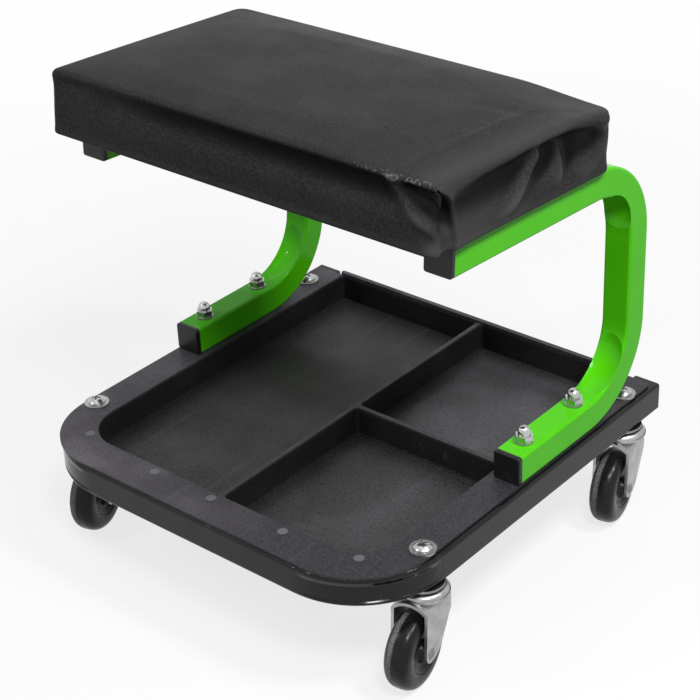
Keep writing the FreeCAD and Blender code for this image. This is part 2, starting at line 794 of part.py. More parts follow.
def make_seat_board():
    """The plywood board under the foam, bored for the tee nuts."""
    body = new_body("seat_board")
    bottom = seat_gap + cover_thickness
    outline = new_sketch(body, "XY_Plane", bottom)
    low, high = seat_plan(board_inset)
    add_rectangle(outline, low, high, seat_corner - board_inset)
    pad(body, outline, board_thickness)
    holes = new_sketch(body, "XY_Plane", bottom + board_thickness + overrun)
    for side in (-1, 1):
        for place in seat_screw_places():
            add_circle(holes, (leg_offset * side, place), tee_nut_barrel / 2)
    pocket(body, holes, board_thickness + overrun * 2)
    place_body(body, (ZERO, arm_top_y, arm_top_z), (1, 0, 0), -seat_tilt)
    keep(body, "seat_board")


def make_seat_pad():
    """The foam block and the cover that wraps it and turns in under the board."""
    skin = cover_thickness.value
    bottom = seat_gap.value
    inner = pad_form(skin, bottom + skin)
    board_top = bottom + skin + board_thickness.value
    low, high = seat_plan(ZERO)
    size_x = high[0].value - low[0].value
    size_y = high[1].value - low[1].value
    reach = seat_thickness.value
    above = Part.makeBox(size_x, size_y, reach, FreeCAD.Vector(low[0].value, low[1].value, board_top))
    foam = inner.common(above)
    for side in (-1, 1):
        for place in seat_screw_places():
            base = FreeCAD.Vector(leg_offset.value * side, place.value, board_top)
            foam = foam.cut(Part.makeCylinder((tee_nut_flange.value) / 2, tee_nut_sheet.value, base))
    keep_shape(foam, "seat_foam", seat_place())
    outer = pad_form(0.0, bottom)
    hem = cover_hem.value
    opening = Part.makeBox(size_x - 2 * hem, size_y - 2 * hem, skin + 2 * bottom,
                           FreeCAD.Vector(low[0].value + hem, low[1].value + hem, 0))
    cover = outer.cut(inner).cut(opening)
    for side in (-1, 1):
        for place in seat_screw_places():
            base = FreeCAD.Vector(leg_offset.value * side, place.value, 0)
            hole = (tee_nut_barrel.value) / 2
            cover = cover.cut(Part.makeCylinder(hole, bottom + 2 * skin, base))
    keep_shape(cover, "seat_cover", seat_place())


def make_staples():
    """Crowns of the staples that hold the cover's hem to the board."""
    body = new_body("staple_master")
    outline = new_sketch(body, "XY_Plane")
    half = staple_length / 2
    add_rectangle(outline, (-half, -staple_wire / 2), (half, staple_wire / 2))
    pad(body, outline, staple_wire / 2)
    drop = seat_gap.value - staple_wire.value / 2
    inset = cover_hem.value / 3 + board_inset.value
    low, high = seat_plan(Size(inset, repr(inset)))
    arms_inner = leg_offset.value - tube_width.value
    places = []
    spacing = staple_spacing.value
    count = int(2 * arms_inner / spacing)
    for step in range(count):
        along = (step - (count - 1) / 2) * spacing
        for edge in (low[1].value, high[1].value):
            places.append(seat_place().multiply(
                FreeCAD.Placement(FreeCAD.Vector(along, edge, drop), FreeCAD.Rotation())))
    copies(body, "seat_staples", places)


def make_screw(name, shaft_radius, shaft_length, head_outline):
    """A round-headed screw: the head's half outline is turned above the shaft."""
    body = new_body(name)
    outline = new_sketch(body, "XZ_Plane")
    add_chain(outline, head_outline)
    spin(body, outline)
    shaft = new_sketch(body, "XY_Plane")
    add_circle(shaft, (ZERO, ZERO), shaft_radius)
    pad(body, shaft, shaft_length, backwards=True)
    return body


def dome_outline(radius, height, side_height):
    """Half outline of a low domed head, from the axis out and back."""
    rise = height - side_height
    dome = (radius * radius + rise * rise) / (rise * 2)
    return [
        ("line", (ZERO, ZERO), (radius, ZERO)),
        ("line", (radius, ZERO), (radius, side_height)),
        ("arc", (radius, side_height), (ZERO, height), dome, True),
        ("line", (ZERO, height), (ZERO, ZERO)),
    ]


def make_leg_fasteners():
    """Hex bolts up through the rails, with washers and domed nuts on the arms."""
    bolt = new_body("leg_bolt_master")
    outline = new_sketch(bolt, "XY_Plane")
    add_hexagon(outline, (ZERO, ZERO), nut_width)
    pad(bolt, outline, bolt_head_height, backwards=True)
    outline = new_sketch(bolt, "XY_Plane")
    add_circle(outline, (ZERO, ZERO), bolt_diameter / 2)
    stack = tube_width * 2 + rim_thickness + leg_washer_thickness
    pad(bolt, outline, stack + nut_hex_height)
    washer = new_body("leg_washer_master")
    outline = new_sketch(washer, "XY_Plane")
    add_circle(outline, (ZERO, ZERO), leg_washer_diameter / 2)
    add_circle(outline, (ZERO, ZERO), bolt_diameter / 2 + bolt_clearance / 2)
    pad(washer, outline, leg_washer_thickness)
    nut = new_body("domed_nut_master")
    outline = new_sketch(nut, "XY_Plane")
    add_hexagon(outline, (ZERO, ZERO), nut_width)
    pad(nut, outline, nut_hex_height)
    outline = new_sketch(nut, "XZ_Plane")
    dome = nut_dome_diameter / 2
    add_chain(outline, [
        ("line", (ZERO, ZERO), (dome, ZERO)),
        ("line", (dome, ZERO), (dome, nut_height - dome)),
        ("arc", (dome, nut_height - dome), (ZERO, nut_height), dome, True),
        ("line", (ZERO, nut_height), (ZERO, ZERO)),
    ])
    spin(nut, outline)
    outline = new_sketch(nut, "XY_Plane")
    add_circle(outline, (ZERO, ZERO), bolt_diameter / 2)
    pocket(nut, outline, nut_hex_height, backwards=True)
    spots = [(leg_offset * side, place) for side in (-1, 1) for place in leg_bolt_places()]
    arm_top = rim_top + tube_width
    copies(bolt, "leg_bolts", [at(x, y, base_underside) for x, y in spots])
    copies(washer, "leg_washers", [at(x, y, arm_top) for x, y in spots])
    twist = FreeCAD.Rotation(FreeCAD.Vector(0, 0, 1), 12)
    copies(nut, "domed_nuts", [at(x, y, arm_top + leg_washer_thickness, twist) for x, y in spots])


def corner_places():
    """Axis of each caster: word, x, y and how far it is turned."""
    return (
        ("front_left", -caster_offset, caster_front, swivel_front_left),
        ("front_right", caster_offset, caster_front, swivel_front_right),
        ("rear_left", -caster_offset, caster_rear, swivel_rear_left),
        ("rear_right", caster_offset, caster_rear, swivel_rear_right),
    )


def make_corner_screws():
    """Cross-recessed pan screws and wide washers above the casters."""
    kingpin_bottom = bell_top - fork_sheet - side_clearance - kingpin_flange_thickness
    length = rim_top + corner_washer_thickness - kingpin_bottom
    side_height = corner_head_height / 3
    radius = corner_head_diameter / 2
    screw = make_screw("corner_screw_master", bolt_diameter / 2, length,
                       dome_outline(radius, corner_head_height, side_height))
    slots = new_sketch(screw, "XY_Plane", corner_head_height)
    long = cross_slot_length / 2
    wide = cross_slot_width / 2
    add_polygon(slots, [
        (long, -wide), (long, wide), (wide, wide), (wide, long), (-wide, long), (-wide, wide),
        (-long, wide), (-long, -wide), (-wide, -wide), (-wide, -long), (wide, -long), (wide, -wide),
    ])
    pocket(screw, slots, cross_slot_depth)
    washer = new_body("corner_washer_master")
    outline = new_sketch(washer, "XY_Plane")
    add_circle(outline, (ZERO, ZERO), corner_washer_diameter / 2)
    add_circle(outline, (ZERO, ZERO), bolt_diameter / 2 + bolt_clearance / 2)
    pad(washer, outline, corner_washer_thickness)
    spots = [(x, y) for _, x, y, _ in corner_places()]
    copies(washer, "corner_washers", [at(x, y, rim_top) for x, y in spots])
    places = []
    for step, (x, y) in enumerate(spots):
        twist = FreeCAD.Rotation(FreeCAD.Vector(0, 0, 1), 35 + 25 * step)
        places.append(at(x, y, rim_top + corner_washer_thickness, twist))
    copies(screw, "corner_screws", places)


def make_seat_fasteners():
    """Screws up through the upper arms into tee nuts in the board."""
    radius = seat_screw_head / 2
    side_height = seat_screw_head_height / 3
    length = tube_width + seat_gap + cover_thickness + board_thickness
    screw = make_screw("seat_screw_master", seat_screw_diameter / 2, length,
                       dome_outline(radius, seat_screw_head_height, side_height))
    nut = new_body("tee_nut_master")
    outline = new_sketch(nut, "XY_Plane")
    add_circle(outline, (ZERO, ZERO), tee_nut_flange / 2)
    add_circle(outline, (ZERO, ZERO), seat_screw_diameter / 2 + running_clearance)
    pad(nut, outline, tee_nut_sheet)
    outline = new_sketch(nut, "XY_Plane")
    add_circle(outline, (ZERO, ZERO), tee_nut_barrel / 2)
    add_circle(outline, (ZERO, ZERO), seat_screw_diameter / 2 + running_clearance)
    pad(nut, outline, board_thickness, backwards=True)
    over = FreeCAD.Rotation(FreeCAD.Vector(1, 0, 0), 180)
    board_top = seat_gap + cover_thickness + board_thickness
    spots = [(leg_offset * side, place) for side in (-1, 1) for place in seat_screw_places()]
    frame = seat_place()
    copies(screw, "seat_screws", [frame.multiply(at(x, y, -tube_width, over)) for x, y in spots])
    copies(nut, "tee_nuts", [frame.multiply(at(x, y, board_top)) for x, y in spots])


def bell_outline():
    """Half outline of the bell: a flaring foot, a collar and the domed crown."""
    radius = bell_diameter / 2
    collar = radius + bell_collar
    collar_top = bell_rim + bell_collar_height
    foot_radius = fork_gap / 2 + fork_sheet / 2
    return [
        ("line", (ZERO, bell_foot), (foot_radius, bell_foot)),
        ("line", (foot_radius, bell_foot), (collar, bell_rim)),
        ("line", (collar, bell_rim), (collar, collar_top)),
        ("line", (collar, collar_top), (radius, collar_top)),
        ("line", (radius, collar_top), (radius, bell_top - bell_round)),
        ("arc", (radius, bell_top - bell_round), (radius - bell_round, bell_top), bell_round, True),
        ("line", (radius - bell_round, bell_top), (ZERO, bell_top)),
        ("line", (ZERO, bell_top), (ZERO, bell_foot)),
    ]


def ball_groove(body):
    """The ring groove that the balls run in."""
    groove = new_sketch(body, "XZ_Plane")
    centre_height = ball_height()
    add_circle(groove, (ball_circle / 2, centre_height), ball_diameter / 2 + running_clearance)
    spin(body, groove, "Groove")


def ball_height():
    return (bell_top + base_underside - race_thickness) / 2


def arch_outline(skin, foot):
    """The arch that the fork's sheet is bent to, seen from the front, down to a foot."""
    outer_half = fork_gap / 2 + fork_sheet
    outer = (outer_half * outer_half + crown_rise * crown_rise) / (crown_rise * 2)
    radius = outer - skin
    half = outer_half - skin
    if skin is ZERO:
        spring = crown_height - crown_rise
    else:
        drop = (radius * radius - half * half).root()
        spring = crown_height - outer + drop
    return [
        ("line", (-half, foot), (half, foot)),
        ("line", (half, foot), (half, spring)),
        ("arc", (half, spring), (-half, spring), radius, True),
        ("line", (-half, spring), (-half, foot)),
    ]


def side_outline():
    """A fork leg seen from the side: the eye, the swept rear edge and the shoulder."""
    axle = -caster_trail
    front_eye = axle - fork_eye
    low = wheel_radius - fork_eye
    knee_y = axle + fork_knee_reach
    knee_z = low + fork_knee_rise
    bend = (fork_knee_reach * fork_knee_reach + fork_knee_rise * fork_knee_rise) / (fork_knee_rise * 2)
    top = crown_height - crown_rise
    return [
        ("arc", (front_eye, wheel_radius), (axle, low), fork_eye, True),
        ("arc", (axle, low), (knee_y, knee_z), bend, True),
        ("line", (knee_y, knee_z), (fork_rear, fork_shoulder)),
        ("line", (fork_rear, fork_shoulder), (fork_rear, top)),
        ("line", (fork_rear, top), (fork_front, top)),
        ("line", (fork_front, top), (front_eye, wheel_radius)),
    ]


def make_fork(label, place):
    """The pressed fork: two tapering legs under an arched crown with its bell."""
    body = new_body(label)
    outline = new_sketch(body, "XZ_Plane")
    add_chain(outline, bell_outline())
    spin(body, outline)
    inside = fork_gap / 2
    outside = inside + fork_sheet
    spring = crown_height - crown_rise
    crown = new_sketch(body, "XZ_Plane", -fork_front)
    add_chain(crown, arch_outline(ZERO, spring - fork_sheet))
    pad(body, crown, fork_rear - fork_front, backwards=True)
    for near in (inside, -outside):
        outline = new_sketch(body, "YZ_Plane", near)
        add_chain(outline, side_outline())
        pad(body, outline, fork_sheet)
    channel = new_sketch(body, "XZ_Plane", overrun - fork_front)
    add_chain(channel, arch_outline(fork_sheet, wheel_radius))
    pocket(body, channel, fork_rear - fork_front + overrun * 2)
    hollow = new_sketch(body, "XZ_Plane")
    add_chain(hollow, hollow_outline())
    spin(body, hollow, "Groove")
    hole = new_sketch(body, "XY_Plane", bell_top + overrun)
    add_circle(hole, (ZERO, ZERO), kingpin_diameter / 2 + running_clearance)
    pocket(body, hole, overrun * 2)
    ball_groove(body)
    hole = new_sketch(body, "YZ_Plane", outside + overrun)
    add_circle(hole, (-caster_trail, wheel_radius), axle_diameter / 2 + running_clearance)
    pocket(body, hole, outside * 2 + overrun * 2)
    place_on_caster(body, place)
    keep(body, label)


def hollow_outline():
    """Half outline of the space under the bell."""
    top = bell_top - fork_sheet
    radius = bell_diameter / 2 - fork_sheet
    foot = bell_rim
    turn = bell_round - fork_sheet
    return [
        ("line", (ZERO, foot), (radius, foot)),
        ("line", (radius, foot), (radius, top - turn)),
        ("arc", (radius, top - turn), (radius - turn, top), turn, True),
        ("line", (radius - turn, top), (ZERO, top)),
        ("line", (ZERO, top), (ZERO, foot)),
    ]


def place_on_caster(body, place):
    _, x, y, angle = place
    place_body(body, (x, y, ZERO), (0, 0, 1), angle)


def place_on_axle(body, place):
    """Puts a piece made round the X axis at the wheel's centre."""
    _, x, y, angle = place
    centre = (x + caster_trail * sine(angle), y - caster_trail * cosine(angle), wheel_radius)
    place_body(body, centre, (0, 0, 1), angle)


def ring_outline(half_width, inner, outer):
    low = (-half_width, inner)
    high = (half_width, outer)
    return low, high


def make_wheel(word, place):
    """The tyre and the plastic hub, which turn together on the sleeve."""
    tyre = new_body(f"{word}_tyre")
    outline = new_sketch(tyre, "XZ_Plane")
    half = wheel_width / 2
    inner = tyre_bore / 2
    turn = tread_rounding
    add_chain(outline, rounded_outline((-half, inner), (half, wheel_radius),
                                       (turn / 4, turn / 4, turn, turn)))
    spin(tyre, outline, axis="H_Axis")
    place_on_axle(tyre, place)
    keep(tyre, f"{word}_tyre")
    hub = new_body(f"{word}_wheel_hub")
    outline = new_sketch(hub, "XZ_Plane")
    rim = hub_rim_width / 2
    web = hub_web / 2
    boss = fork_gap / 2 - side_clearance
    bore = sleeve_diameter / 2 + running_clearance
    rim_inner = inner - hub_rim_wall
    boss_radius = hub_boss / 2
    right = [(boss, bore), (boss, boss_radius), (web, boss_radius), (web, rim_inner),
             (rim, rim_inner), (rim, inner)]
    left = [(-x, y) for x, y in reversed(right)]
    add_polygon(outline, right + left)
    spin(hub, outline, axis="H_Axis")
    place_on_axle(hub, place)
    keep(hub, f"{word}_wheel_hub")


def make_axle(word, place):
    """The riveted axle and the sleeve that it clamps between the fork's legs."""
    sleeve = new_body(f"{word}_axle_sleeve")
    outline = new_sketch(sleeve, "XZ_Plane")
    half = fork_gap / 2
    add_rectangle(outline, (-half, axle_diameter / 2 + running_clearance), (half, sleeve_diameter / 2))
    spin(sleeve, outline, axis="H_Axis")
    place_on_axle(sleeve, place)
    keep(sleeve, f"{word}_axle_sleeve")
    axle = new_body(f"{word}_axle")
    outline = new_sketch(axle, "XZ_Plane")
    face = half + fork_sheet
    end = face + axle_head_height
    head = axle_head / 2
    shaft = axle_diameter / 2
    rise = axle_head_height
    dome = (head * head + rise * rise) / (rise * 2)
    add_chain(outline, [
        ("line", (-end, ZERO), (end, ZERO)),
        ("arc", (end, ZERO), (face, head), dome, True),
        ("line", (face, head), (face, shaft)),
        ("line", (face, shaft), (-face, shaft)),
        ("line", (-face, shaft), (-face, head)),
        ("arc", (-face, head), (-end, ZERO), dome, True),
    ])
    spin(axle, outline, axis="H_Axis")
    place_on_axle(axle, place)
    keep(axle, f"{word}_axle")


def make_kingpin(word, place):
    """The fixed race under the rail, the balls and the flanged kingpin."""
    race = new_body(f"{word}_top_race")
    outline = new_sketch(race, "XY_Plane", base_underside - race_thickness)
    add_circle(outline, (ZERO, ZERO), race_diameter / 2)
    add_circle(outline, (ZERO, ZERO), kingpin_diameter / 2)
    pad(race, outline, race_thickness)
    ball_groove(race)
    place_on_caster(race, place)
    keep(race, f"{word}_top_race")
    pin = new_body(f"{word}_kingpin")
    flange_top = bell_top - fork_sheet - side_clearance
    flange_bottom = flange_top - kingpin_flange_thickness
    bore = bolt_diameter / 2 + running_clearance
    outline = new_sketch(pin, "XZ_Plane")
    body_radius = kingpin_diameter / 2
    flange = kingpin_flange / 2
    add_polygon(outline, [
        (bore, flange_bottom), (flange, flange_bottom), (flange, flange_top),
        (body_radius, flange_top), (body_radius, base_underside), (bore, base_underside),
    ])
    spin(pin, outline)
    place_on_caster(pin, place)
    keep(pin, f"{word}_kingpin")
    ball = new_body(f"{word}_ball_master")
    outline = new_sketch(ball, "XZ_Plane")
    radius = ball_diameter / 2
    add_chain(outline, [
        ("line", (ZERO, -radius), (ZERO, radius)),
        ("arc", (ZERO, radius), (radius, ZERO), radius, False),
        ("arc", (radius, ZERO), (ZERO, -radius), radius, False),
    ])
    spin(ball, outline)
    _, x, y, _ = place
    spots = []
    for step in range(ball_count):
        angle = 2 * math.pi * step / ball_count
        offset = FreeCAD.Vector(math.cos(angle), math.sin(angle), 0) * (ball_circle.value / 2)
        spots.append(FreeCAD.Placement(at(x, y, ball_height()).Base + offset, FreeCAD.Rotation()))
    copies(ball, f"{word}_bearing_balls", spots)


make_base_frame()
make_tray()
make_leg("left_leg", -1)
make_leg("right_leg", 1)
make_plugs()
make_leg_fasteners()
make_corner_screws()
make_seat_board()
make_seat_pad()
make_staples()
make_seat_fasteners()
for place in corner_places():
    word = f"{place[0]}_caster"
    make_kingpin(word, place)
    make_fork(f"{word}_fork", place)
    make_axle(word, place)
    make_wheel(word, place)

document.recompute()
for item in document.Objects:
    if "Invalid" in item.State or "Error" in item.State:
        raise RuntimeError(f"{item.Label}: {item.State}")
for piece in made:
    if piece.Shape.isNull() or not piece.Shape.isValid() or not piece.Shape.Solids:
        raise RuntimeError(f"{piece.Label}: not a valid solid")
os.makedirs("parts", exist_ok=True)
for piece in made:
    piece.Shape.exportStep(f"parts/{piece.Label}.step")
print(f"{len(made)} nodes")
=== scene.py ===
"""Looks of the creeper seat: cushion, wheels, finishes, and a plain studio stage."""

import json
import math

import bpy
import numpy as np
from mathutils import Matrix


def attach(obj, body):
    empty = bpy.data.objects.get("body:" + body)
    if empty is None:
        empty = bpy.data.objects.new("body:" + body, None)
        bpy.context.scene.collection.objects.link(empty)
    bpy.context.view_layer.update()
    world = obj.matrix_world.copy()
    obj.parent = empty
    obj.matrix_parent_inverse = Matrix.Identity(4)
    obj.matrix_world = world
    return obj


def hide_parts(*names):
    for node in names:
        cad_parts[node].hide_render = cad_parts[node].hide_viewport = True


bl_info = {
    "name": "Creeper Seat Looks",
    "version": (1, 0, 0),
    "blender": (4, 5, 0),
    "location": "View3D > Sidebar > Creeper Seat",
    "description": "Dresses the creeper seat's frame with its cushion, wheels and finishes",
    "category": "Object",
}

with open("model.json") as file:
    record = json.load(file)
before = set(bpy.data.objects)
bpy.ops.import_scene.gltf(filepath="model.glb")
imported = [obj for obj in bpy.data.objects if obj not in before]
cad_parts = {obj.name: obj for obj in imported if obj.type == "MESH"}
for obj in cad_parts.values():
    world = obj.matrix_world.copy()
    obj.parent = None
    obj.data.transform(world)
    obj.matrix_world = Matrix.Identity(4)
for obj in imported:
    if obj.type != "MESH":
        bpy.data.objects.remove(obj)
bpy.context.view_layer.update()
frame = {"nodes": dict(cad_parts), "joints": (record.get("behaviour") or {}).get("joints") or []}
MM = 0.001
CORNERS = ("front_left", "front_right", "rear_left", "rear_right")

# The base's bends start this far to the side of the middle, and to the front of it
BEND_START = 0.109
BEND_FADE = 0.02

# Heights between which the tray's floor ends and its rim begins
TRAY_FLOOR = (0.0882, 0.0892)
TRAY_RIM = (0.1095, 0.1115)
# Middles of the round marks on the tray's rim
RIM_MARKS = ((-0.06045, -0.1615), (0.00155, -0.1615), (0.07595, -0.1615), (-0.144, -0.153), (0.144, -0.153))
# Half widths, middles and strength of the patches of dust and painted light in the tray's compartments.
# Stronger patches stand where more light falls, the plain plastic near the walls is painted shade, and the
# gap between the big compartment's two patches is a painted shadow of the seat
DUST_AND_LIGHT_PATCHES = (
    ((0.079, 0.0560), (-0.076, 0.1285), 0.6), ((0.079, 0.0930), (-0.076, -0.0615), 0.33),
    ((0.074, 0.0854), (0.081, 0.0991), 1.4), ((0.074, 0.0821), (0.081, -0.0724), 0.55))

# Place, width and height of the fine creases near the right end of the seat's top
TOP_CREASES = ((0.132, 0.0015, 0.35), (0.141, 0.0018, -0.4), (0.150, 0.0016, 0.5),
               (0.1575, 0.0022, 1.0), (0.167, 0.002, 0.4))


# ---- Meshes

def new_piece(name, points, faces, paint):
    """An object at the origin whose smooth mesh has these points and faces."""
    mesh = bpy.data.meshes.new(name)
    mesh.from_pydata(points.tolist(), [], faces.tolist())
    mesh.polygons.foreach_set("use_smooth", np.ones(len(mesh.polygons), bool))
    mesh.materials.append(paint)
    mesh.update()
    piece = bpy.data.objects.new(name, mesh)
    bpy.context.scene.collection.objects.link(piece)
    return piece


def closed_tube(name, rings, paint):
    """A mesh from a grid of points that closes on itself both ways.

    Point j of ring i joins point j + 1 and ring i + 1, and the last of each
    meets the first.
    """
    number = np.arange(rings.shape[0] * rings.shape[1]).reshape(rings.shape[:2])
    above = np.roll(number, -1, axis=0)
    quads = np.stack([number, np.roll(number, -1, axis=1), np.roll(above, -1, axis=1), above], -1)
    return new_piece(name, rings.reshape(-1, 3), quads.reshape(-1, 4), paint)


def keep_values(piece, name, values):
    """Keeps a number at each point of a piece, for its material to read."""
    layer = piece.data.attributes.new(name, "FLOAT", "POINT")
    layer.data.foreach_set("value", values.ravel())


def points_of(piece):
    """The places of a piece's points, one row each."""
    flat = np.empty(len(piece.data.vertices) * 3)
    piece.data.vertices.foreach_get("co", flat)
    return flat.reshape(-1, 3)


def settle(piece):
    """Applies a piece's modifiers to its mesh."""
    graph = bpy.context.evaluated_depsgraph_get()
    mesh = bpy.data.meshes.new_from_object(piece.evaluated_get(graph))
    old = piece.data
    piece.modifiers.clear()
    piece.data = mesh
    mesh.name = piece.name
    bpy.data.meshes.remove(old)


def smooth_step(value, low, high):
    """Rises from 0 at low to 1 at high on the curve 3t^2 - 2t^3."""
    share = np.clip((value - low) / (high - low), 0, 1)
    return share * share * (3 - 2 * share)


def bell(value, middle, width):
    """A bell curve: 1 at the middle, falling as exp(-(distance / width)^2)."""
    return np.exp(-(((value - middle) / width) ** 2))


# ---- Shader maths

class Value:
    """A number that a material works out. Operators on it add Math nodes."""

    def __init__(self, paint, socket):
        self.paint = paint
        self.socket = socket

    def math(self, operation, *others):
        """Adds a Math node on this number and others."""
        inputs = dict(enumerate((self, *others)))
        return self.paint.node("Math", {"operation": operation}, inputs)

    def __add__(self, other):
        return self.math("ADD", other)

    def __sub__(self, other):
        return self.math("SUBTRACT", other)

    def __mul__(self, other):
        return self.math("MULTIPLY", other)

    def __rsub__(self, other):
        return (self * -1) + other

    def clamped(self, low, high, start=0.0, end=1.0):
        """Mapped smoothly from low and high to start and end, and kept between them."""
        inputs = {"Value": self, "From Min": low, "From Max": high, "To Min": start, "To Max": end}
        return self.paint.node("MapRange", {"interpolation_type": "SMOOTHSTEP"}, inputs)


class Paint:
    """A material under construction, or a world where that shelf is named."""

    def __init__(self, name, shelf="materials"):
        self.owner = getattr(bpy.data, shelf).new(name)
        self.owner.use_nodes = True
        self.tree = self.owner.node_tree
        self.tree.nodes.clear()
        self.place = None

    def node(self, kind, settings=None, inputs=None, output=0):
        """Adds a node: its settings first, then its inputs by name or number."""
        made = self.tree.nodes.new(f"ShaderNode{kind}")
        for key, setting in (settings or {}).items():
            setattr(made, key, setting)
        for key, value in (inputs or {}).items():
            if isinstance(value, Value):
                self.tree.links.new(value.socket, made.inputs[key])
            else:
                made.inputs[key].default_value = value
        return Value(self, made.outputs[output]) if made.outputs else None

    def position(self):
        """The point's place in the object's own coordinates."""
        if self.place is None:
            self.place = self.node("TexCoord", output="Object")
        return self.place

    def outputs(self, kind, names, inputs=None):
        """Adds a node, of which several outputs are used."""
        made = self.node(kind, inputs=inputs).socket.node
        return [Value(self, made.outputs[name]) for name in names]

    def axes(self):
        """The point's X, Y and Z."""
        return self.outputs("SeparateXYZ", "XYZ", {0: self.position()})

    def stored(self, name):
        """A number kept at the mesh's points under that name."""
        return self.node("Attribute", {"attribute_name": name}, output="Fac")

    def vector(self, operation, first, second=(0, 0, 0), output=0):
        """Adds a Vector Math node on two vectors."""
        return self.node("VectorMath", {"operation": operation}, {0: first, 1: second}, output)

    def noise(self, size, detail=3.0, stretch=(1, 1, 1)):
        """Noise with blobs of about that size in metres."""
        place = self.position()
        if stretch != (1, 1, 1):
            place = self.vector("MULTIPLY", place, stretch)
        return self.node("TexNoise", inputs={"Vector": place, "Scale": 1 / size, "Detail": detail})

    def grain(self, size):
        """Cells of about that size in metres: 0 in their middles, rising outwards."""
        return self.node("TexVoronoi", inputs={"Vector": self.position(), "Scale": 1 / size})

    def mix(self, factor, first, second):
        """A colour between two others."""
        return self.node("Mix", {"data_type": "RGBA"}, {0: factor, 6: first, 7: second}, output=2)

    def tones(self, factor, word):
        """A colour between the dark and the light one that the settings hold for a word."""
        tints = bpy.context.scene.creeper_colours
        dark, light = getattr(tints, f"{word}_dark"), getattr(tints, f"{word}_light")
        return self.mix(factor, colour(*dark), colour(*light))

    def bump(self, height, distance):
        """A normal that tilts as a height map of that depth does."""
        return self.node("Bump", inputs={"Height": height, "Distance": distance})

    def seen(self):
        """1 for rays from the camera, off a gloss or through glass, and 0 for others."""
        names = ("Is Camera Ray", "Is Glossy Ray", "Is Transmission Ray")
        camera, glossy, through = self.outputs("LightPath", names)
        return camera.math("MAXIMUM", glossy).math("MAXIMUM", through)

    def end(self, shader, kind="Material"):
        """Links the last shader to the output."""
        self.node(f"Output{kind}", inputs={"Surface": shader})
        return self.owner

    def finish(self, **inputs):
        """Ends the material in a principled surface with these inputs."""
        names = {key.replace("_", " ").title().replace("Ior", "IOR"): value
                 for key, value in inputs.items()}
        return self.end(self.node("BsdfPrincipled", inputs=names))


def colour(red, green, blue):
    """A colour as a socket takes it."""
    return (red, green, blue, 1.0)


def grey(level):
    """A neutral colour of that level."""
    return colour(level, level, level)


# ---- Finishes

def tint(name, description, *default):
    """A colour among the settings."""
    return bpy.props.FloatVectorProperty(
        name=name, description=description, default=default, size=3, min=0, max=1, subtype="COLOR")


class FinishColours(bpy.types.PropertyGroup):
    """Colours of the finishes. Two tones of one finish mix in clouds."""

    legs_dark: tint("Legs, dark", "Darker clouds in the legs' paint", 0.075, 0.58, 0.004)
    legs_light: tint("Legs, light", "Lighter clouds in the legs' paint", 0.105, 0.66, 0.006)
    base_dark: tint("Base, dark", "The base's paint where it is clean", 0.005, 0.005, 0.006)
    base_light: tint("Base, light", "The base's paint where it is dusty", 0.011, 0.011, 0.012)
    tray_dark: tint("Tray, dark", "Darker clouds in the tray's plastic", 0.010, 0.010, 0.010)
    tray_light: tint("Tray, light", "Lighter clouds in the tray's plastic", 0.022, 0.021, 0.022)
    # The dust tones also carry painted light: the compartment patches lay them on where light falls
    dust_dark: tint("Dust, dark", "Thinner dust on the tray's floors", 0.060, 0.057, 0.063)
    dust_light: tint("Dust, light", "Thicker dust on the tray's floors", 0.086, 0.081, 0.092)
    plug_dark: tint("Plugs, dark", "The end plugs' plastic", 0.007, 0.007, 0.008)
    plug_light: tint("Plugs, light", "The end plugs' scuffs", 0.018, 0.018, 0.019)
    cushion_dark: tint("Cushion, dark", "Less worn vinyl", 0.023, 0.023, 0.023)
    cushion_light: tint("Cushion, light", "More worn vinyl", 0.032, 0.031, 0.031)
    tread_dark: tint("Tread, dark", "The wheels' clean rubber", 0.007, 0.007, 0.007)
    tread_light: tint("Tread, light", "The wheels' dusty rubber", 0.016, 0.016, 0.016)
    hub_dark: tint("Hub, dark", "Darker flow in the hubs' plastic", 0.006, 0.006, 0.006)
    hub_light: tint("Hub, light", "Lighter flow in the hubs' plastic", 0.015, 0.015, 0.016)
    zinc: tint("Zinc", "Plate of the casters, bolts and washers", 0.44, 0.44, 0.44)
    bright: tint("Bright", "Plate of the domed nuts and the corner screws", 0.56, 0.56, 0.56)
    rivet: tint("Rivet", "Steel of the wheels' axles and the top races", 0.27, 0.27, 0.27)


def gloss_black_paint():
    """Black paint on the base's tube: slight orange peel, dust and faint rubs.

    The outer wall sank a little where the tube was bent. Its edges stand as
    ridges there, given as height = smooth step of Z within each bend.
    """
    paint = Paint("gloss_black_paint")
    dust = paint.noise(0.06, 5).clamped(0.4, 0.75)
    rub = paint.noise(0.012, 6, (1, 1, 0.3)).clamped(0.62, 0.75)
    base = paint.tones(dust, "base")
    base = paint.mix(rub, base, colour(0.026, 0.026, 0.028))
    peel = paint.noise(0.004, 2)
    across, along, level = paint.axes()
    in_bend = across.math("ABSOLUTE").clamped(BEND_START, BEND_START + BEND_FADE)
    in_bend = in_bend * along.clamped(-BEND_START - BEND_FADE, -BEND_START, 1, 0)
    ridge = level.clamped(0.0882, 0.0912, 1, 0) + level.clamped(0.1040, 0.1070) * 0.6
    height = in_bend * ridge * 2.4 + peel * 0.1
    return paint.finish(
        base_color=base, specular_ior_level=0.26, roughness=dust * 0.08 + rub * 0.15 + 0.10,
        normal=paint.bump(height, 0.001))


def green_gloss_paint():
    """Bright green gloss paint on the legs, with orange peel and a fine speckle."""
    paint = Paint("green_gloss_paint")
    cloud = paint.noise(0.05, 4)
    speck = paint.noise(0.0015, 2).clamped(0.55, 0.8)
    base = paint.tones(cloud, "legs")
    base = paint.mix(speck * 0.35, base, colour(0.05, 0.45, 0.003))
    peel = paint.noise(0.005, 2)
    return paint.finish(
        base_color=base, specular_ior_level=0.1, roughness=cloud * 0.06 + 0.09,
        normal=paint.bump(peel, 0.00012))


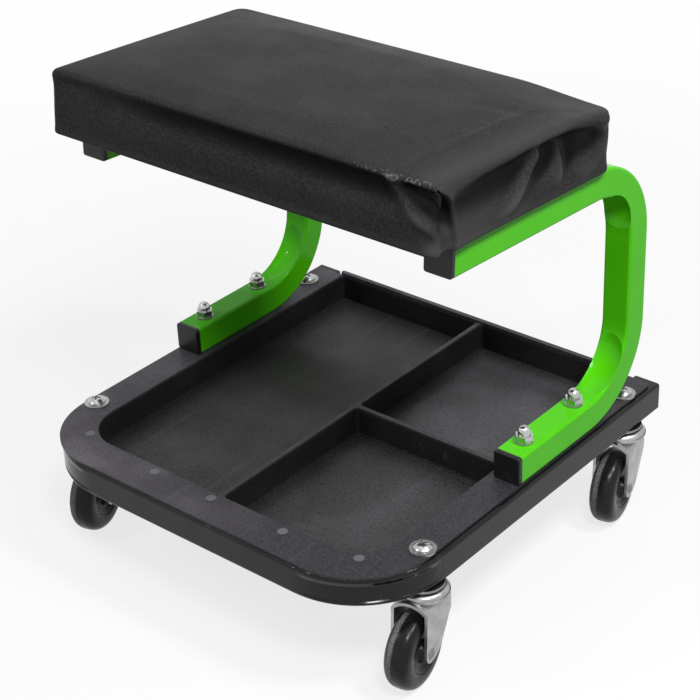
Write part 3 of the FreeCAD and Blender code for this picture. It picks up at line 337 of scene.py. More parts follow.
def compartment_dust(paint, across, along):
    """How much dust and painted light each compartment's floor gets: most in its middle, none near its
    walls, where the plain plastic stands for painted shade.
    """
    uneven = paint.noise(0.03, 4) * 0.012
    dust_and_light_share = across * 0.0
    for (half_x, half_y), (middle_x, middle_y), share in DUST_AND_LIGHT_PATCHES:
        inset_x = half_x - (across - middle_x).math("ABSOLUTE")
        inset_y = half_y - (along - middle_y).math("ABSOLUTE")
        inset = inset_x.math("MINIMUM", inset_y) + uneven
        dust_and_light_share = dust_and_light_share.math("MAXIMUM", inset.clamped(0.006, 0.034, 0, share))
    return dust_and_light_share


def round_marks(paint, across):
    """1 within each round mark of the rim, fading at the mark's edge."""
    flat = paint.vector("MULTIPLY", paint.position(), (1, 1, 0))
    marks = across * 0.0
    for place in RIM_MARKS:
        away = paint.vector("DISTANCE", flat, (*place, 0), output="Value")
        marks = marks.math("MAXIMUM", away.clamped(0.0037, 0.0045, 1, 0))
    return marks


def tray_moulding():
    """Black moulded plastic: sand grain, floors with dust, painted light and painted shade, a greyer rim
    with a painted sheen, five pale round marks.
    """
    paint = Paint("tray_moulding")
    across, along, level = paint.axes()
    on_rim = level.clamped(*TRAY_RIM)
    on_floor = level.clamped(*TRAY_FLOOR, 1, 0)
    cloud = paint.noise(0.055, 5).clamped(0.38, 0.7)
    speck = paint.noise(0.0020, 4).clamped(0.40, 0.66)
    pit = paint.noise(0.0023, 4).clamped(0.46, 0.34)
    scratch = paint.noise(0.018, 5, (1, 0.06, 1)).clamped(0.62, 0.7)
    base = paint.tones(cloud, "tray")
    dust = paint.tones(cloud, "dust")
    # Dust tones laid on the floors by the patches, as dust and as painted light, with painted shade left
    # near the walls
    base = paint.mix(compartment_dust(paint, across, along) * on_floor, base, dust)
    # The rim: greyer plastic with a painted sheen, paler to the left and darker to the right
    rim = paint.mix(cloud, colour(0.048, 0.043, 0.052), colour(0.100, 0.091, 0.112))
    rim = paint.mix(across.clamped(-0.12, 0.15), rim, colour(0.030, 0.027, 0.033))
    base = paint.mix(on_rim, base, rim)
    specked = on_rim.math("MAXIMUM", on_floor) * 0.24 + 0.06
    base = paint.mix(speck * specked, base, colour(0.090, 0.087, 0.093))
    base = paint.mix(pit * 0.5, base, grey(0.004))
    base = paint.mix(scratch * 0.25, base, colour(0.10, 0.098, 0.105))
    base = paint.mix(round_marks(paint, across) * on_rim * 0.75, base, colour(0.16, 0.155, 0.17))
    sand = paint.noise(0.0012, 3)
    return paint.finish(
        base_color=base, specular_ior_level=0.22, roughness=cloud * -0.08 + 0.5,
        normal=paint.bump(sand, 0.00018))


def plug_plastic():
    """Smooth black plastic of the tubes' end plugs, a little scuffed."""
    paint = Paint("plug_plastic")
    scuff = paint.noise(0.008, 5).clamped(0.5, 0.75)
    base = paint.tones(scuff, "plug")
    fine = paint.noise(0.0016, 3)
    return paint.finish(
        base_color=base, specular_ior_level=0.3, roughness=scuff * 0.15 + 0.36,
        normal=paint.bump(fine, 0.00008))


def seat_vinyl():
    """Soft black vinyl: a leather-like grain, softly worn, with fine creases.

    Painted highlight makes the vinyl paler where the cover stands out on folds, and painted shade makes it
    darker in hollows and on the top.
    Painted highlights pale the edge along the top's right end and the lower
    front of the right side, and pale specks lie on the front edge near the right
    corner. The creases run front to rear near the top's right end: each is a
    ridge about X = place + wobble, a smooth step of the distance over its width.
    """
    paint = Paint("seat_vinyl")
    across, along, level = paint.axes()
    wear = paint.noise(0.035, 5).clamped(0.4, 0.7)
    cell = paint.grain(0.0016)
    fine = paint.noise(0.0016, 4)
    recess = paint.stored("recess")
    base = paint.tones(wear, "cushion")
    base = paint.mix(fine.clamped(0.42, 0.62) * 0.6, base, colour(0.058, 0.056, 0.057))
    # Painted shade: the top is made darker than the sides
    base = paint.mix(level.clamped(0.396, 0.408, 0, 0.38), base, grey(0.008))
    # Painted highlight where the cover stands out, painted shade where it sank
    base = paint.mix(recess.clamped(0.001, -0.004), base, colour(0.065, 0.063, 0.064))
    base = paint.mix(recess.clamped(0.001, 0.0055), base, grey(0.006))
    # Painted highlights: the edge along the top's right end and the lower front of the right side are made
    # paler
    top_edge_highlight = across.clamped(0.158, 0.184) * level.clamped(0.388, 0.400) * 0.4
    side_front_highlight = across.clamped(0.170, 0.184) * along.clamped(-0.085, 0.01, 1, 0)
    side_front_highlight = side_front_highlight * level.clamped(0.356, 0.392, 1, 0) * 0.8
    paler_share = (top_edge_highlight + side_front_highlight).math("MINIMUM", 1.0)
    base = paint.mix(paler_share, base, colour(0.066, 0.064, 0.065))
    # Pale specks along the front edge of the top, near the right corner
    pale_specks = level.clamped(0.4035, 0.4065) * along.clamped(-0.1095, -0.1045, 1, 0)
    pale_specks = pale_specks * across.clamped(0.10, 0.16) * paint.noise(0.0022, 4).clamped(0.52, 0.62)
    base = paint.mix(pale_specks * 0.8, base, colour(0.20, 0.18, 0.21))
    wobble = paint.noise(0.06, 2) * 0.008
    creases = across * 0.0
    for place, width, share in TOP_CREASES:
        away = (across + wobble - place).math("ABSOLUTE")
        creases = creases + away.clamped(0, width, share, 0)
    creases = creases * along.clamped(-0.02, 0.06, 1, 0) * level.clamped(0.402, 0.406) * wear
    height = cell * 0.05 + fine * 0.06 + creases * 0.3
    return paint.finish(
        base_color=base, specular_ior_level=0.02, roughness=wear * -0.06 + 0.40,
        normal=paint.bump(height, 0.001))


def plated_steel(name, light, rough, brushed):
    """Zinc or chrome plate: a cloudy tone and fine brushing."""
    paint = Paint(name)
    cloud = paint.noise(0.012, 5)
    brush = paint.noise(0.0012, 3, (1, 1, brushed))
    dark = colour(*(level * 0.74 for level in light))
    base = paint.mix(cloud.clamped(0.35, 0.7), dark, colour(*light))
    return paint.finish(
        base_color=base, metallic=1.0, roughness=cloud * 0.1 + brush * 0.08 + rough,
        normal=paint.bump(brush, 0.00004))


def plywood():
    """Bare plywood: plies along the thickness and long grain on the faces."""
    paint = Paint("plywood")
    grain = paint.noise(0.01, 6, (0.12, 1, 1))
    ply = (paint.axes()[2] * 2200).math("SINE").clamped(-0.4, 0.4)
    base = paint.mix(grain, colour(0.36, 0.24, 0.13), colour(0.58, 0.43, 0.26))
    base = paint.mix(ply * 0.35, base, colour(0.28, 0.18, 0.1))
    return paint.finish(base_color=base, roughness=grain * 0.2 + 0.6, normal=paint.bump(grain, 0.0003))


def tread_rubber():
    """Hard black tread: half gloss, with a grey worn band where it runs."""
    paint = Paint("tread_rubber")
    ragged = paint.noise(0.0022, 5)
    dust = paint.noise(0.009, 5).clamped(0.45, 0.75)
    aside = (paint.stored("across") + 0.34 + ragged * 0.16).math("ABSOLUTE")
    paler_share = aside.clamped(0.10, 0.32, 1, 0) * paint.noise(0.0012, 3).clamped(0.22, 0.58)
    base = paint.tones(dust, "tread")
    base = paint.mix(paler_share, base, colour(0.20, 0.195, 0.19))
    return paint.finish(
        base_color=base, specular_ior_level=0.2, roughness=paler_share * 0.35 + dust * 0.1 + 0.24,
        normal=paint.bump(ragged, 0.00015))


def hub_plastic():
    """Moulded black hub plastic with a faint flow pattern."""
    paint = Paint("hub_plastic")
    flow = paint.noise(0.006, 5)
    base = paint.tones(flow, "hub")
    return paint.finish(
        base_color=base, specular_ior_level=0.2, roughness=flow * 0.12 + 0.26,
        normal=paint.bump(flow, 0.0001))


def foam():
    """Open-cell foam, cream coloured."""
    paint = Paint("foam")
    cell = paint.grain(0.0012)
    base = paint.mix(cell, colour(0.55, 0.48, 0.3), colour(0.75, 0.68, 0.46))
    return paint.finish(base_color=base, roughness=cell * 0.1 + 0.85, normal=paint.bump(cell, 0.0004))


def ready(maker):
    """The material that a maker made before under its own name, or else a new one."""
    return bpy.data.materials.get(maker.__name__) or maker()


# ---- Seat cushion

# Where the cushion's own axes stand: between the upper arms' front ends, on their top faces
SEAT_ORIGIN = (0.0, -0.084640, 0.354511)
SWELL_STEPS = 20
# As the cover swells, it is held below this level and on the rim of the top
HEM_LEVEL = 0.007
RIM_DEPTH = 0.003
RIM_WIDTH = 0.006
# The underside lies below this level, and is lifted by this much within the hem
UNDERSIDE = 0.004
HOLLOW = 0.005

# Broken lines of (place, value) in millimetres. How far the front's band is
# drawn in across its width, and for the right side the height of its seam, the
# width of the band under it and how far that is drawn in, from front to rear
FRONT_PULL = ((-186, 0.4), (-150, 2.0), (-60, 4.8), (60, 5.4), (150, 6.0), (182, 6.6))
SIDE_SEAM = ((-12, 42), (0, 47), (30, 49.5), (69, 49.8), (138, 49.8), (163, 49), (181, 45))
SIDE_BAND = ((-10, 12), (20, 12), (60, 9.5), (80, 6.5), (118, 6.5), (150, 11), (175, 12))
SIDE_PULL = ((-24, 0), (-4, 5.5), (30, 7.0), (70, 6.6), (120, 6.8), (165, 7.4), (184, 3.5))
# Where the rim of the folded corner runs, from the bottom up
FLAP_RIM = ((1.9, -8), (9.4, -7.5), (20, -8), (30, -10), (38, -14),
            (44, -20), (48, -25.5), (51, -28), (53.5, -30))

# Folds drawn as ridges, in millimetres: how far each stands out, its half width, its line
FRONT_FOLDS = ((-3.0, 6, ((164, 44), (176, 42), (192, 40))),
               (4.4, 5, ((150, 48), (159, 41), (169, 31), (178, 25), (190, 19))))
SIDE_FOLDS = ((5.0, 5.5, ((90, 40), (80, 35), (69, 26), (58, 15), (43, 3))),
              (-2.6, 7, ((108, 35), (90, 24), (74, 12), (60, 4))),
              (3.4, 7, ((114, 37), (114, 28), (113, 17))),
              (-2.6, 8, ((131, 36), (130, 24), (124, 12))),
              (2.4, 9, ((168, 24), (152, 14), (140, 4))))
TOP_FOLDS = ((0.45, 4, ((150, -22), (152, 40), (155, 128))),
             (0.36, 5, ((172, -20), (140, 20), (120, 26))),
             (-0.315, 6, ((178, 150), (158, 120), (120, 108))))


class CushionSizes(bpy.types.PropertyGroup):
    """Sizes of the cushion, in the frame of the upper arms' top faces."""

    width: bpy.props.FloatProperty(
        name="Width", description="Side to side", default=0.380, unit="LENGTH")
    depth: bpy.props.FloatProperty(
        name="Depth", description="Front to rear", default=0.2205, unit="LENGTH")
    overhang: bpy.props.FloatProperty(
        name="Overhang", description="Reach in front of the arms", default=0.030, unit="LENGTH")
    height: bpy.props.FloatProperty(
        name="Height", description="From the arms to the top's middle", default=0.056, unit="LENGTH")
    crown: bpy.props.FloatProperty(
        name="Crown", description="Rise of the top's middle", default=0.0025, unit="LENGTH")
    edge: bpy.props.FloatProperty(
        name="Edge", description="Radius of the top's edge and the front's corners",
        default=0.0065, unit="LENGTH")
    foot: bpy.props.FloatProperty(
        name="Foot", description="Radius of the bottom's edge", default=0.0025, unit="LENGTH")
    rear_corner: bpy.props.FloatProperty(
        name="Rear corner", description="Radius of the rear's upright corners",
        default=0.013, unit="LENGTH")
    hem: bpy.props.FloatProperty(
        name="Hem", description="Width of the cover folded under the board",
        default=0.024, unit="LENGTH")
    tilt: bpy.props.FloatProperty(
        name="Tilt", description="How far the front is raised", default=math.radians(3.8),
        subtype="ANGLE")
    pressure: bpy.props.FloatProperty(
        name="Pressure", description="Cloth pressure that swells the cover", default=4.0)
    cap: bpy.props.FloatProperty(
        name="Cap", description="Most that the swelling moves a point", default=0.003, unit="LENGTH")


def graded(*spans):
    """Grid lines along one direction: each span is its end and its number of steps."""
    lines = [spans[0][0]]
    for (end, steps), (start, _) in zip(spans[1:], spans):
        lines += np.linspace(start, end, steps + 1)[1:].tolist()
    return np.array(lines) * MM


def rounded(share):
    """Shares of the way across a square or cube, turned into those of its round form.

    A point (a, b) moves to max(a, b) * (a, b) / |(a, b)|, and likewise in space.
    """
    length = np.maximum(np.linalg.norm(share, axis=-1, keepdims=True), 1e-9)
    return share * share.max(-1, keepdims=True) / length


def cushion_block(sizes):
    """A block of grid points whose outer skin is the cushion before it swells.

    A skin point is its own place kept within the core, which is the box less
    the edge radius, plus that radius along the way from there to its place.
    The grid is closer at the front and on the right, where the folds are.
    """
    half = sizes.width / 2 / MM
    front, rear = -sizes.overhang / MM, (sizes.depth - sizes.overhang) / MM
    top = (sizes.height - sizes.crown) / MM
    across = graded((-half, 0), (20 - half, 8), (100, 38), (half, 36))
    along = graded((front, 0), (50, 32), (rear - 20, 44), (rear, 8))
    height = graded((0.3, 0), (6, 4), (44, 14), (top, 4))
    block = np.stack(np.meshgrid(across, along, height, indexing="ij"), -1)
    low, high = block.min((0, 1, 2)), block.max((0, 1, 2))
    core = np.clip(block, low + sizes.edge, high - sizes.edge)
    core[..., 2] = np.clip(block[..., 2], low[2] + sizes.foot, high[2] - sizes.edge)
    out = block - core
    reach = np.where(block[..., 2] < core[..., 2], sizes.foot, sizes.edge)[..., None]
    skin = core + reach * np.sign(out) * rounded(np.abs(out) / reach)
    return rounded_rear(skin, sizes)


def rounded_rear(points, sizes):
    """Turns the squares at the rear corners into quarter discs of their radius."""
    span = sizes.rear_corner
    start = np.array([sizes.width / 2 - span, sizes.depth - sizes.overhang - span])
    plan = np.stack([np.abs(points[..., 0]), points[..., 1]], -1)
    share = np.clip((plan - start) / span, 0, None)
    inside = (share > 0).all(-1)
    moved = start + span * rounded(share)
    moved[..., 0] *= np.sign(points[..., 0])
    points[..., :2] = np.where(inside[..., None], moved, points[..., :2])
    return points


def skin_faces(shape):
    """Faces of a block's outer skin, outwards, and the grid points that they use."""
    number = np.arange(np.prod(shape)).reshape(shape)
    sides = []
    for axis in range(3):
        for end in (0, -1):
            sheet = np.take(number, end, axis)
            quad = [sheet[:-1, :-1], sheet[1:, :-1], sheet[1:, 1:], sheet[:-1, 1:]]
            inwards = (end == 0) != (axis == 1)
            sides.append(np.stack(quad[::-1] if inwards else quad, -1).reshape(-1, 4))
    used, faces = np.unique(np.concatenate(sides), return_inverse=True)
    return used, faces.reshape(-1, 4)


def skin_piece(name, block, paint):
    """A piece made of a block's outer skin, and its points' numbers in the block."""
    used, faces = skin_faces(block.shape[:3])
    return new_piece(name, block.reshape(-1, 3)[used], faces, paint), used


def inset_of(points, sizes):
    """How far each point lies inside the cushion's outline, seen from above."""
    across, along = points[..., 0], points[..., 1]
    ends = np.minimum(along + sizes.overhang, sizes.depth - sizes.overhang - along)
    return np.minimum(sizes.width / 2 - np.abs(across), ends)


def swell_cover(block, sizes, paint):
    """How far Blender's Cloth moves each point of the block's every second line.

    The cover is blown up by an even pressure. Its hem and its top's rim hold.
    """
    coarse = block[::2, ::2, ::2]
    piece, used = skin_piece("cover_trial", coarse, paint)
    before = points_of(piece)
    level = before[:, 2]
    on_rim = (level > level.max() - RIM_DEPTH) & (inset_of(before, sizes) < RIM_WIDTH)
    held = piece.vertex_groups.new(name="held")
    held.add(np.flatnonzero((level < HEM_LEVEL) | on_rim).tolist(), 1.0, "REPLACE")
    cloth = piece.modifiers.new("cloth", "CLOTH")
    cloth.settings.vertex_group_mass = "held"
    cloth.settings.use_pressure = True
    cloth.settings.uniform_pressure_force = sizes.pressure
    cloth.settings.effector_weights.gravity = 0
    cloth.point_cache.frame_start = 1
    cloth.point_cache.frame_end = SWELL_STEPS
    for step in range(1, SWELL_STEPS + 1):
        bpy.context.scene.frame_set(step)
    settle(piece)
    bpy.context.scene.frame_set(1)
    move = points_of(piece) - before
    far = np.linalg.norm(move, axis=1, keepdims=True)
    move *= np.minimum(1, sizes.cap / np.maximum(far, 1e-9))
    bpy.data.objects.remove(piece)
    moves = np.zeros(coarse.shape)
    moves.reshape(-1, 3)[used] = move
    return moves


def spread(moves, shape):
    """Moves on every second line, carried to all lines: the mean of two neighbours."""
    full = np.zeros(shape)
    full[::2, ::2, ::2] = moves
    full[1::2] = (full[:-1:2] + full[2::2]) / 2
    full[:, 1::2] = (full[:, :-1:2] + full[:, 2::2]) / 2
    full[:, :, 1::2] = (full[:, :, :-1:2] + full[:, :, 2::2]) / 2
    return full


def near_line(first, second, line, width):
    """A ridge along a drawn line: exp(-(distance / width)^2), in two coordinates."""
    line = np.array(line, float) * MM
    spot = np.stack([first, second], -1)[..., None, :]
    start, step = line[:-1], np.diff(line, axis=0)
    share = np.clip(((spot - start) * step).sum(-1) / (step ** 2).sum(-1), 0, 1)
    gap = np.linalg.norm(spot - start - share[..., None] * step, axis=-1).min(-1)
    return bell(gap, 0, width * MM)


def drawn(first, second, folds):
    """How far drawn folds stand out together: the sum of lift * ridge."""
    return sum(lift * near_line(first, second, line, width) for lift, width, line in folds)


def curve(value, corners):
    """The broken line through corners of (place, level) in millimetres."""
    places, levels = np.array(corners, float).T
    return np.interp(value, places * MM, levels)


def drawn_in(fall, rise, fade):
    """A band under an edge: 0 above it, 1 after the rise, back to 0 after the fade."""
    return smooth_step(fall, -rise * MM, 0) * (1 - smooth_step(fall, 0, fade * MM))


def front_depth(across, height, top):
    """How deep the front sinks, in millimetres: a band under its edge, less its folds."""
    depth = curve(across, FRONT_PULL) * drawn_in(top - 0.008 - height, 5, 24)
    depth -= drawn(across, height, FRONT_FOLDS)
    return depth - 0.8 * bell(height, 0.003, 0.003)


def side_depth(along, height):
    """How deep the right side sinks, in millimetres: an arch under its seam, less its folds."""
    under = curve(along, SIDE_SEAM) * MM - height
    band = curve(along, SIDE_BAND) * MM
    depth = smooth_step(under, 0, band) * (1 - smooth_step(under, band, band + 0.030))
    depth *= curve(along, SIDE_PULL)
    depth -= drawn(along, height, SIDE_FOLDS) * smooth_step(height, 0.001, 0.014)
    return depth - 0.7 * bell(height, 0.003, 0.003)


def folded_corner(along, height, front):
    """The right side's folded front corner: new places along it, where it is, its depth.

    The grid lines of the front 20 mm fan out from the corner to the flap's
    rim, and those behind it close up towards a place 60 mm along. The vinyl
    tucks in before the rim and stands out past it, falling as exp(-distance).
    """
    fan_width, joined = 0.020, 0.06
    rim = curve(height, FLAP_RIM) * MM
    share = (along - front) / fan_width
    fan = front + (rim - front) * share + 0.0028 * bell(share, 0.875, 0.07)
    past = joined - (joined - rim) * (joined - along) / (joined - front - fan_width)
    places = np.where(share < 1, fan, np.where(along < joined, past, along))
    tuck = 10.5 * smooth_step(-height, -0.0515, -0.042) * smooth_step(share, 0.12, 0.72)
    tuck *= 0.42 + 0.58 * smooth_step(height, 0.012, 0.021)
    lip = 1.6 * np.exp(-(places - rim) / 0.009) * smooth_step(-height, -0.0525, -0.048)
    inside = share < 0.999
    return places, inside, np.where(inside, tuck, -lip)


def crown_rise(across, along, height, sizes):
    """The top's crown: the rise times ((1 - x^2) * (1 - y^2))^0.6 over the shares x and y."""
    front, rear = -sizes.overhang, sizes.depth - sizes.overhang
    level = 1 - (across / (sizes.width / 2)) ** 2
    level = level * (1 - ((2 * along - rear - front) / sizes.depth) ** 2)
    lifted = smooth_step(height, 0.03, sizes.height - sizes.crown)
    return sizes.crown * lifted * np.clip(level, 0, 1) ** 0.6


def fold_cover(points, sizes):
    """Draws the cover's folds into the swollen cushion, in its own axes.

    Each point moves in or out of its side by a sum of bands, ridges and bells,
    in millimetres. The second result is how deep each point sank, from which
    the vinyl gets painted shade where it sank and a painted highlight where
    it stands out.
    """
    across, along, height = np.moveaxis(points, -1, 0).copy()
    front, rear, side = -sizes.overhang, sizes.depth - sizes.overhang, sizes.width / 2
    top = sizes.height - sizes.crown
    on_front = smooth_step(-along, -front - 0.007, -front - 0.001)
    on_rear = smooth_step(along, rear - 0.008, rear - 0.001)
    on_side = smooth_step(np.abs(across), side - 0.008, side - 0.001)
    on_right, on_left = on_side * (across > 0), on_side * (across < 0)
    crown = crown_rise(across, along, height, sizes)

    depth = front_depth(across, height, top) * on_front
    places, inside, flap = folded_corner(along, height, front)
    sink = (np.where(inside, 0, side_depth(along, height)) + flap) * on_right ** 2
    along += (places - along) * smooth_step(across, side - 0.022, side - 0.002)
    other = 1.3 * drawn_in(top - 0.014 - height, 10, 28)
    corner = 2.2 * bell(np.hypot(across - side, along - front), 0, 0.011)
    corner *= smooth_step(height, 0.004, 0.014) * smooth_step(-height, -0.050, -0.042)
    across += (other * on_left - sink - corner) * MM
    along += (depth + corner - other * on_rear) * MM

    pucker = 0.5 * np.sin(across / 0.0042 * 2 * math.pi + np.sin(across * 900))
    pucker *= bell(along, front + 0.003, 0.005) * smooth_step(across, 0.150, 0.162) * (height > 0.03)
    crease = (drawn(across, along, TOP_FOLDS) + pucker) * smooth_step(height, 0.045, top)
    slope = 5.0 * smooth_step(across, 0.10, side) * smooth_step(along, rear - 0.055, rear)
    slope *= smooth_step(height, 0.02, top)
    along += 4.0 * bell(height, 0.030, 0.020) * smooth_step(across, 0.13, side) * on_rear * MM
    height += crown + (crease - slope) * MM
    return np.stack([across, along, height], -1), (sink + depth + 2 * corner) * MM


def hollow_below(points, sizes):
    """Lifts the underside within the hem into the board, which shows there."""
    within = smooth_step(inset_of(points, sizes), sizes.hem - 0.002, sizes.hem + 0.001)
    lifted = points.copy()
    lifted[..., 2] += HOLLOW * within * (points[..., 2] < UNDERSIDE)
    return lifted


class CREEPER_OT_cushion(bpy.types.Operator):
    """Makes the padded cushion, swells its cover and draws the folds in it"""

    bl_idname = "creeper.cushion"
    bl_label = "Make Cushion"

    def execute(self, context):
        sizes = context.scene.creeper_cushion
        paint = seat_vinyl()
        block = cushion_block(sizes)
        block += spread(swell_cover(block, sizes, paint), block.shape)
        block, recess = fold_cover(hollow_below(block, sizes), sizes)
        lean, rise = math.cos(sizes.tilt), math.sin(sizes.tilt)
        turned = np.array([[1, 0, 0], [0, lean, -rise], [0, rise, lean]])
        piece, used = skin_piece("seat_cushion", block @ turned + SEAT_ORIGIN, paint)
        keep_values(piece, "recess", recess.ravel()[used])
        smooth = piece.modifiers.new("smooth", "SUBSURF")
        smooth.levels = smooth.render_levels = 1
        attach(piece, "base")
        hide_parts("seat_cover", "seat_foam")
        return {"FINISHED"}


# ---- Wheels

RING_STEPS = 96
CROWN_STEPS = 41
CROWN_POWER = 2.7
CROWN_RISE = 0.0105
# How far in from the tread's side, and out from the bore, each point of its cheek lies
CHEEK = ((0.0006, 0.0), (0.0001, 0.0012))
# The hub's right half from the axle out, as (across, out) in millimetres
HUB_SECTION = ((12.9, 4.6), (12.9, 7.4), (12.4, 8.0), (9.6, 8.6), (7.9, 9.6), (7.5, 11.0),
               (7.9, 12.8), (9.0, 14.6), (9.9, 16.0), (10.3, 17.2))


class WheelSizes(bpy.types.PropertyGroup):
    """Sizes of the four wheels."""

    radius: bpy.props.FloatProperty(
        name="Radius", description="Of the tread", default=0.0325, unit="LENGTH")
    width: bpy.props.FloatProperty(
        name="Width", description="Of the tread", default=0.022, unit="LENGTH")
    bore: bpy.props.FloatProperty(
        name="Bore", description="Radius where the tread meets the hub", default=0.018, unit="LENGTH")


def turned_ring(outline, place):
    """A closed outline of (across, out) turned about the wheel's axle.

    A point is centre + across * axle + out * (cos a * up + sin a * forward).
    """
    centre, axle = place
    up = np.array([0, 0, 1.0])
    forward = np.cross(axle, up)
    turn = np.linspace(0, 2 * math.pi, RING_STEPS, endpoint=False)
    spoke = np.cos(turn)[:, None] * up + np.sin(turn)[:, None] * forward
    out = outline[:, 1][None, :, None] * spoke[:, None, :]
    return centre + outline[:, 0][None, :, None] * axle + out


def wheel_place(corner):
    """The wheel's centre and the direction of its axle, from the frame's joints."""
    joint = next(one for one in frame["joints"] if one["name"] == f"{corner}_roll")
    return np.array(joint["pos_m"], float), np.array(joint["axis"], float)


def tread_outline(sizes):
    """Section of the tread, closed, as (across, out).

    The crown is the superellipse (across / half)^n + (rise / crown)^n = 1 over
    the widest place, with a straight cheek below it down to the bore.
    """
    half = sizes.width / 2
    widest = sizes.radius - CROWN_RISE
    turn = np.linspace(0, math.pi, CROWN_STEPS)
    power = 2 / CROWN_POWER
    across = half * np.sign(np.cos(turn)) * np.abs(np.cos(turn)) ** power
    out = widest + (sizes.radius - widest) * np.sin(turn).clip(0) ** power
    cheek = np.array([(half - inset, sizes.bore + rise) for inset, rise in CHEEK])
    return np.vstack([cheek, np.column_stack([across, out]), cheek[::-1] * (-1, 1)])


def hub_outline(sizes):
    """Section of the hub, closed: rim, soft step down to the dish, and boss."""
    right = np.array([*HUB_SECTION, (HUB_SECTION[-1][0], sizes.bore / MM)]) * MM
    return softened(softened(np.vstack([right, right[::-1] * (-1, 1)])))


def softened(outline):
    """Cuts the corners of a closed outline: each side keeps its middle half."""
    after = np.roll(outline, -1, axis=0)
    near, far = outline * 0.75 + after * 0.25, outline * 0.25 + after * 0.75
    return np.stack([near, far], 1).reshape(-1, 2)


class CREEPER_OT_wheels(bpy.types.Operator):
    """Makes the four treads and hubs in place of the plain ones"""

    bl_idname = "creeper.wheels"
    bl_label = "Make Wheels"

    def execute(self, context):
        sizes = context.scene.creeper_wheels
        tread, hub = tread_outline(sizes), hub_outline(sizes)
        parts = (("tread", "tyre", tread, tread_rubber(), "wheel_black"),
                 ("dished_hub", "wheel_hub", hub, hub_plastic(), "hub_black"))
        for corner in CORNERS:
            for word, node, outline, paint, slot in parts:
                rings = turned_ring(outline, wheel_place(corner))
                piece = closed_tube(f"{corner}_{word}", rings, paint)
                if word == "tread":
                    keep_values(piece, "across", np.tile(outline[:, 0] * 2 / sizes.width, RING_STEPS))
                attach(piece, f"{corner}_caster_wheel")
                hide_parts(f"{corner}_caster_{node}")
        return {"FINISHED"}


# ---- Finishes of the carried-over pieces

class CREEPER_OT_finishes(bpy.types.Operator):
    """Gives each carried-over piece of the frame its finish"""

    bl_idname = "creeper.finishes"
    bl_label = "Apply Finishes"

    def execute(self, context):
        tints = context.scene.creeper_colours
        zinc = plated_steel("zinc_plate", tints.zinc, 0.24, 0.3)
        bright = plated_steel("bright_plate", tints.bright, 0.13, 1)
        rivet = plated_steel("rivet_steel", tints.rivet, 0.14, 0.5)
        finishes = {
            "base_frame": gloss_black_paint(), "tray": tray_moulding(), "leg": green_gloss_paint(),
            "plug": plug_plastic(), "seat_board": plywood(), "seat_foam": foam(),
            "seat_cover": ready(seat_vinyl), "tyre": ready(tread_rubber),
            "wheel_hub": ready(hub_plastic), "domed_nuts": bright, "corner_screws": bright,
            "axle": rivet, "top_race": rivet,
        }
        for name, node in frame["nodes"].items():
            fitting = [key for key in finishes if name == key or name.endswith("_" + key)]
            chosen = finishes[fitting[0]] if fitting else zinc
            if not node.material_slots:
                node.data.materials.append(chosen)
            for place in node.material_slots:
                place.material = chosen
        return {"FINISHED"}


# ---- Stage

# Each lamp's name, side, place and the point it faces. Its power is a setting.
LAMPS = (("key", 0.4, (1.12, 0.17, 1.9), (0, 0, 0.25)),
         ("overhead", 1.0, (-0.2, -0.1, 2.1), (0, 0, 0.3)),
         ("front", 0.4, (1.04, -0.78, 1.78), (0, 0, 0.25)),
         ("left", 0.14, (-0.9, -1.2, 1.6), (0, 0, 0.2)))
FLOOR_REACH = 40.0
SENSOR_WIDTH = 36


class StageSettings(bpy.types.PropertyGroup):
    """Camera and light of the plain studio."""

    lens: bpy.props.FloatProperty(
        name="Lens", description="Focal length on a 36 mm sensor, in millimetres", default=96.26)
    place: bpy.props.FloatVectorProperty(
        name="Camera", description="Where the camera stands", size=3,
        default=(0.8798, -0.9974, 0.9380), unit="LENGTH")
    heading: bpy.props.FloatProperty(
        name="Heading", description="Turn from looking along +Y", default=math.radians(41.057),
        subtype="ANGLE")
    dip: bpy.props.FloatProperty(
        name="Dip", description="How far the camera looks down", default=math.radians(30.034),
        subtype="ANGLE")
    roll: bpy.props.FloatProperty(
        name="Roll", description="Turn about the view's axis", default=math.radians(-2.582),
        subtype="ANGLE")
    world: bpy.props.FloatProperty(
        name="Sky", description="Strength of the light from all round", default=0.2)
    key: bpy.props.FloatProperty(
        name="Key", description="Power of the lamp high on the right", default=20.0, unit="POWER")
    overhead: bpy.props.FloatProperty(
        name="Overhead", description="Power of the soft lamp above", default=3.0, unit="POWER")
    front: bpy.props.FloatProperty(
        name="Front", description="Power of the lamp high at the front right",
        default=21.0, unit="POWER")
    left: bpy.props.FloatProperty(
        name="Left", description="Power of the small lamp at the front left", default=5.0, unit="POWER")


def placed(holder, axes, place):
    """Links an object that stands at a place with these axes as its columns."""
    bpy.context.scene.collection.objects.link(holder)
    turned = Matrix(np.column_stack(axes).tolist()).to_4x4()
    turned.translation = place
    holder.matrix_world = turned
    return holder


def add_camera(settings):
    """A camera whose right, up and back are turned by heading, dip and roll."""
    heading, dip, roll = settings.heading, settings.dip, settings.roll
    flat = np.array([-math.sin(heading), math.cos(heading), 0])
    ahead = flat * math.cos(dip) - np.array([0, 0, math.sin(dip)])
    right = np.array([math.cos(heading), math.sin(heading), 0])
    up = np.cross(right, ahead)
    rolled_right = math.cos(roll) * right + math.sin(roll) * up
    rolled_up = math.cos(roll) * up - math.sin(roll) * right
    view = bpy.data.cameras.new("photo_view")
    view.lens = settings.lens
    view.sensor_width = SENSOR_WIDTH
    camera = bpy.data.objects.new("photo_view", view)
    return placed(camera, [rolled_right, rolled_up, -ahead], settings.place)


def add_lamp(name, power, size, place, target):
    """A square area lamp at a place, facing a target."""
    lamp = bpy.data.lights.new(name, "AREA")
    lamp.energy = power
    lamp.size = size
    back = np.array(place, float) - np.array(target, float)
    back /= np.linalg.norm(back)
    side = np.cross((0, 1, 0.001), back)
    side /= np.linalg.norm(side)
    return placed(bpy.data.objects.new(name, lamp), [side, np.cross(back, side), back], place)


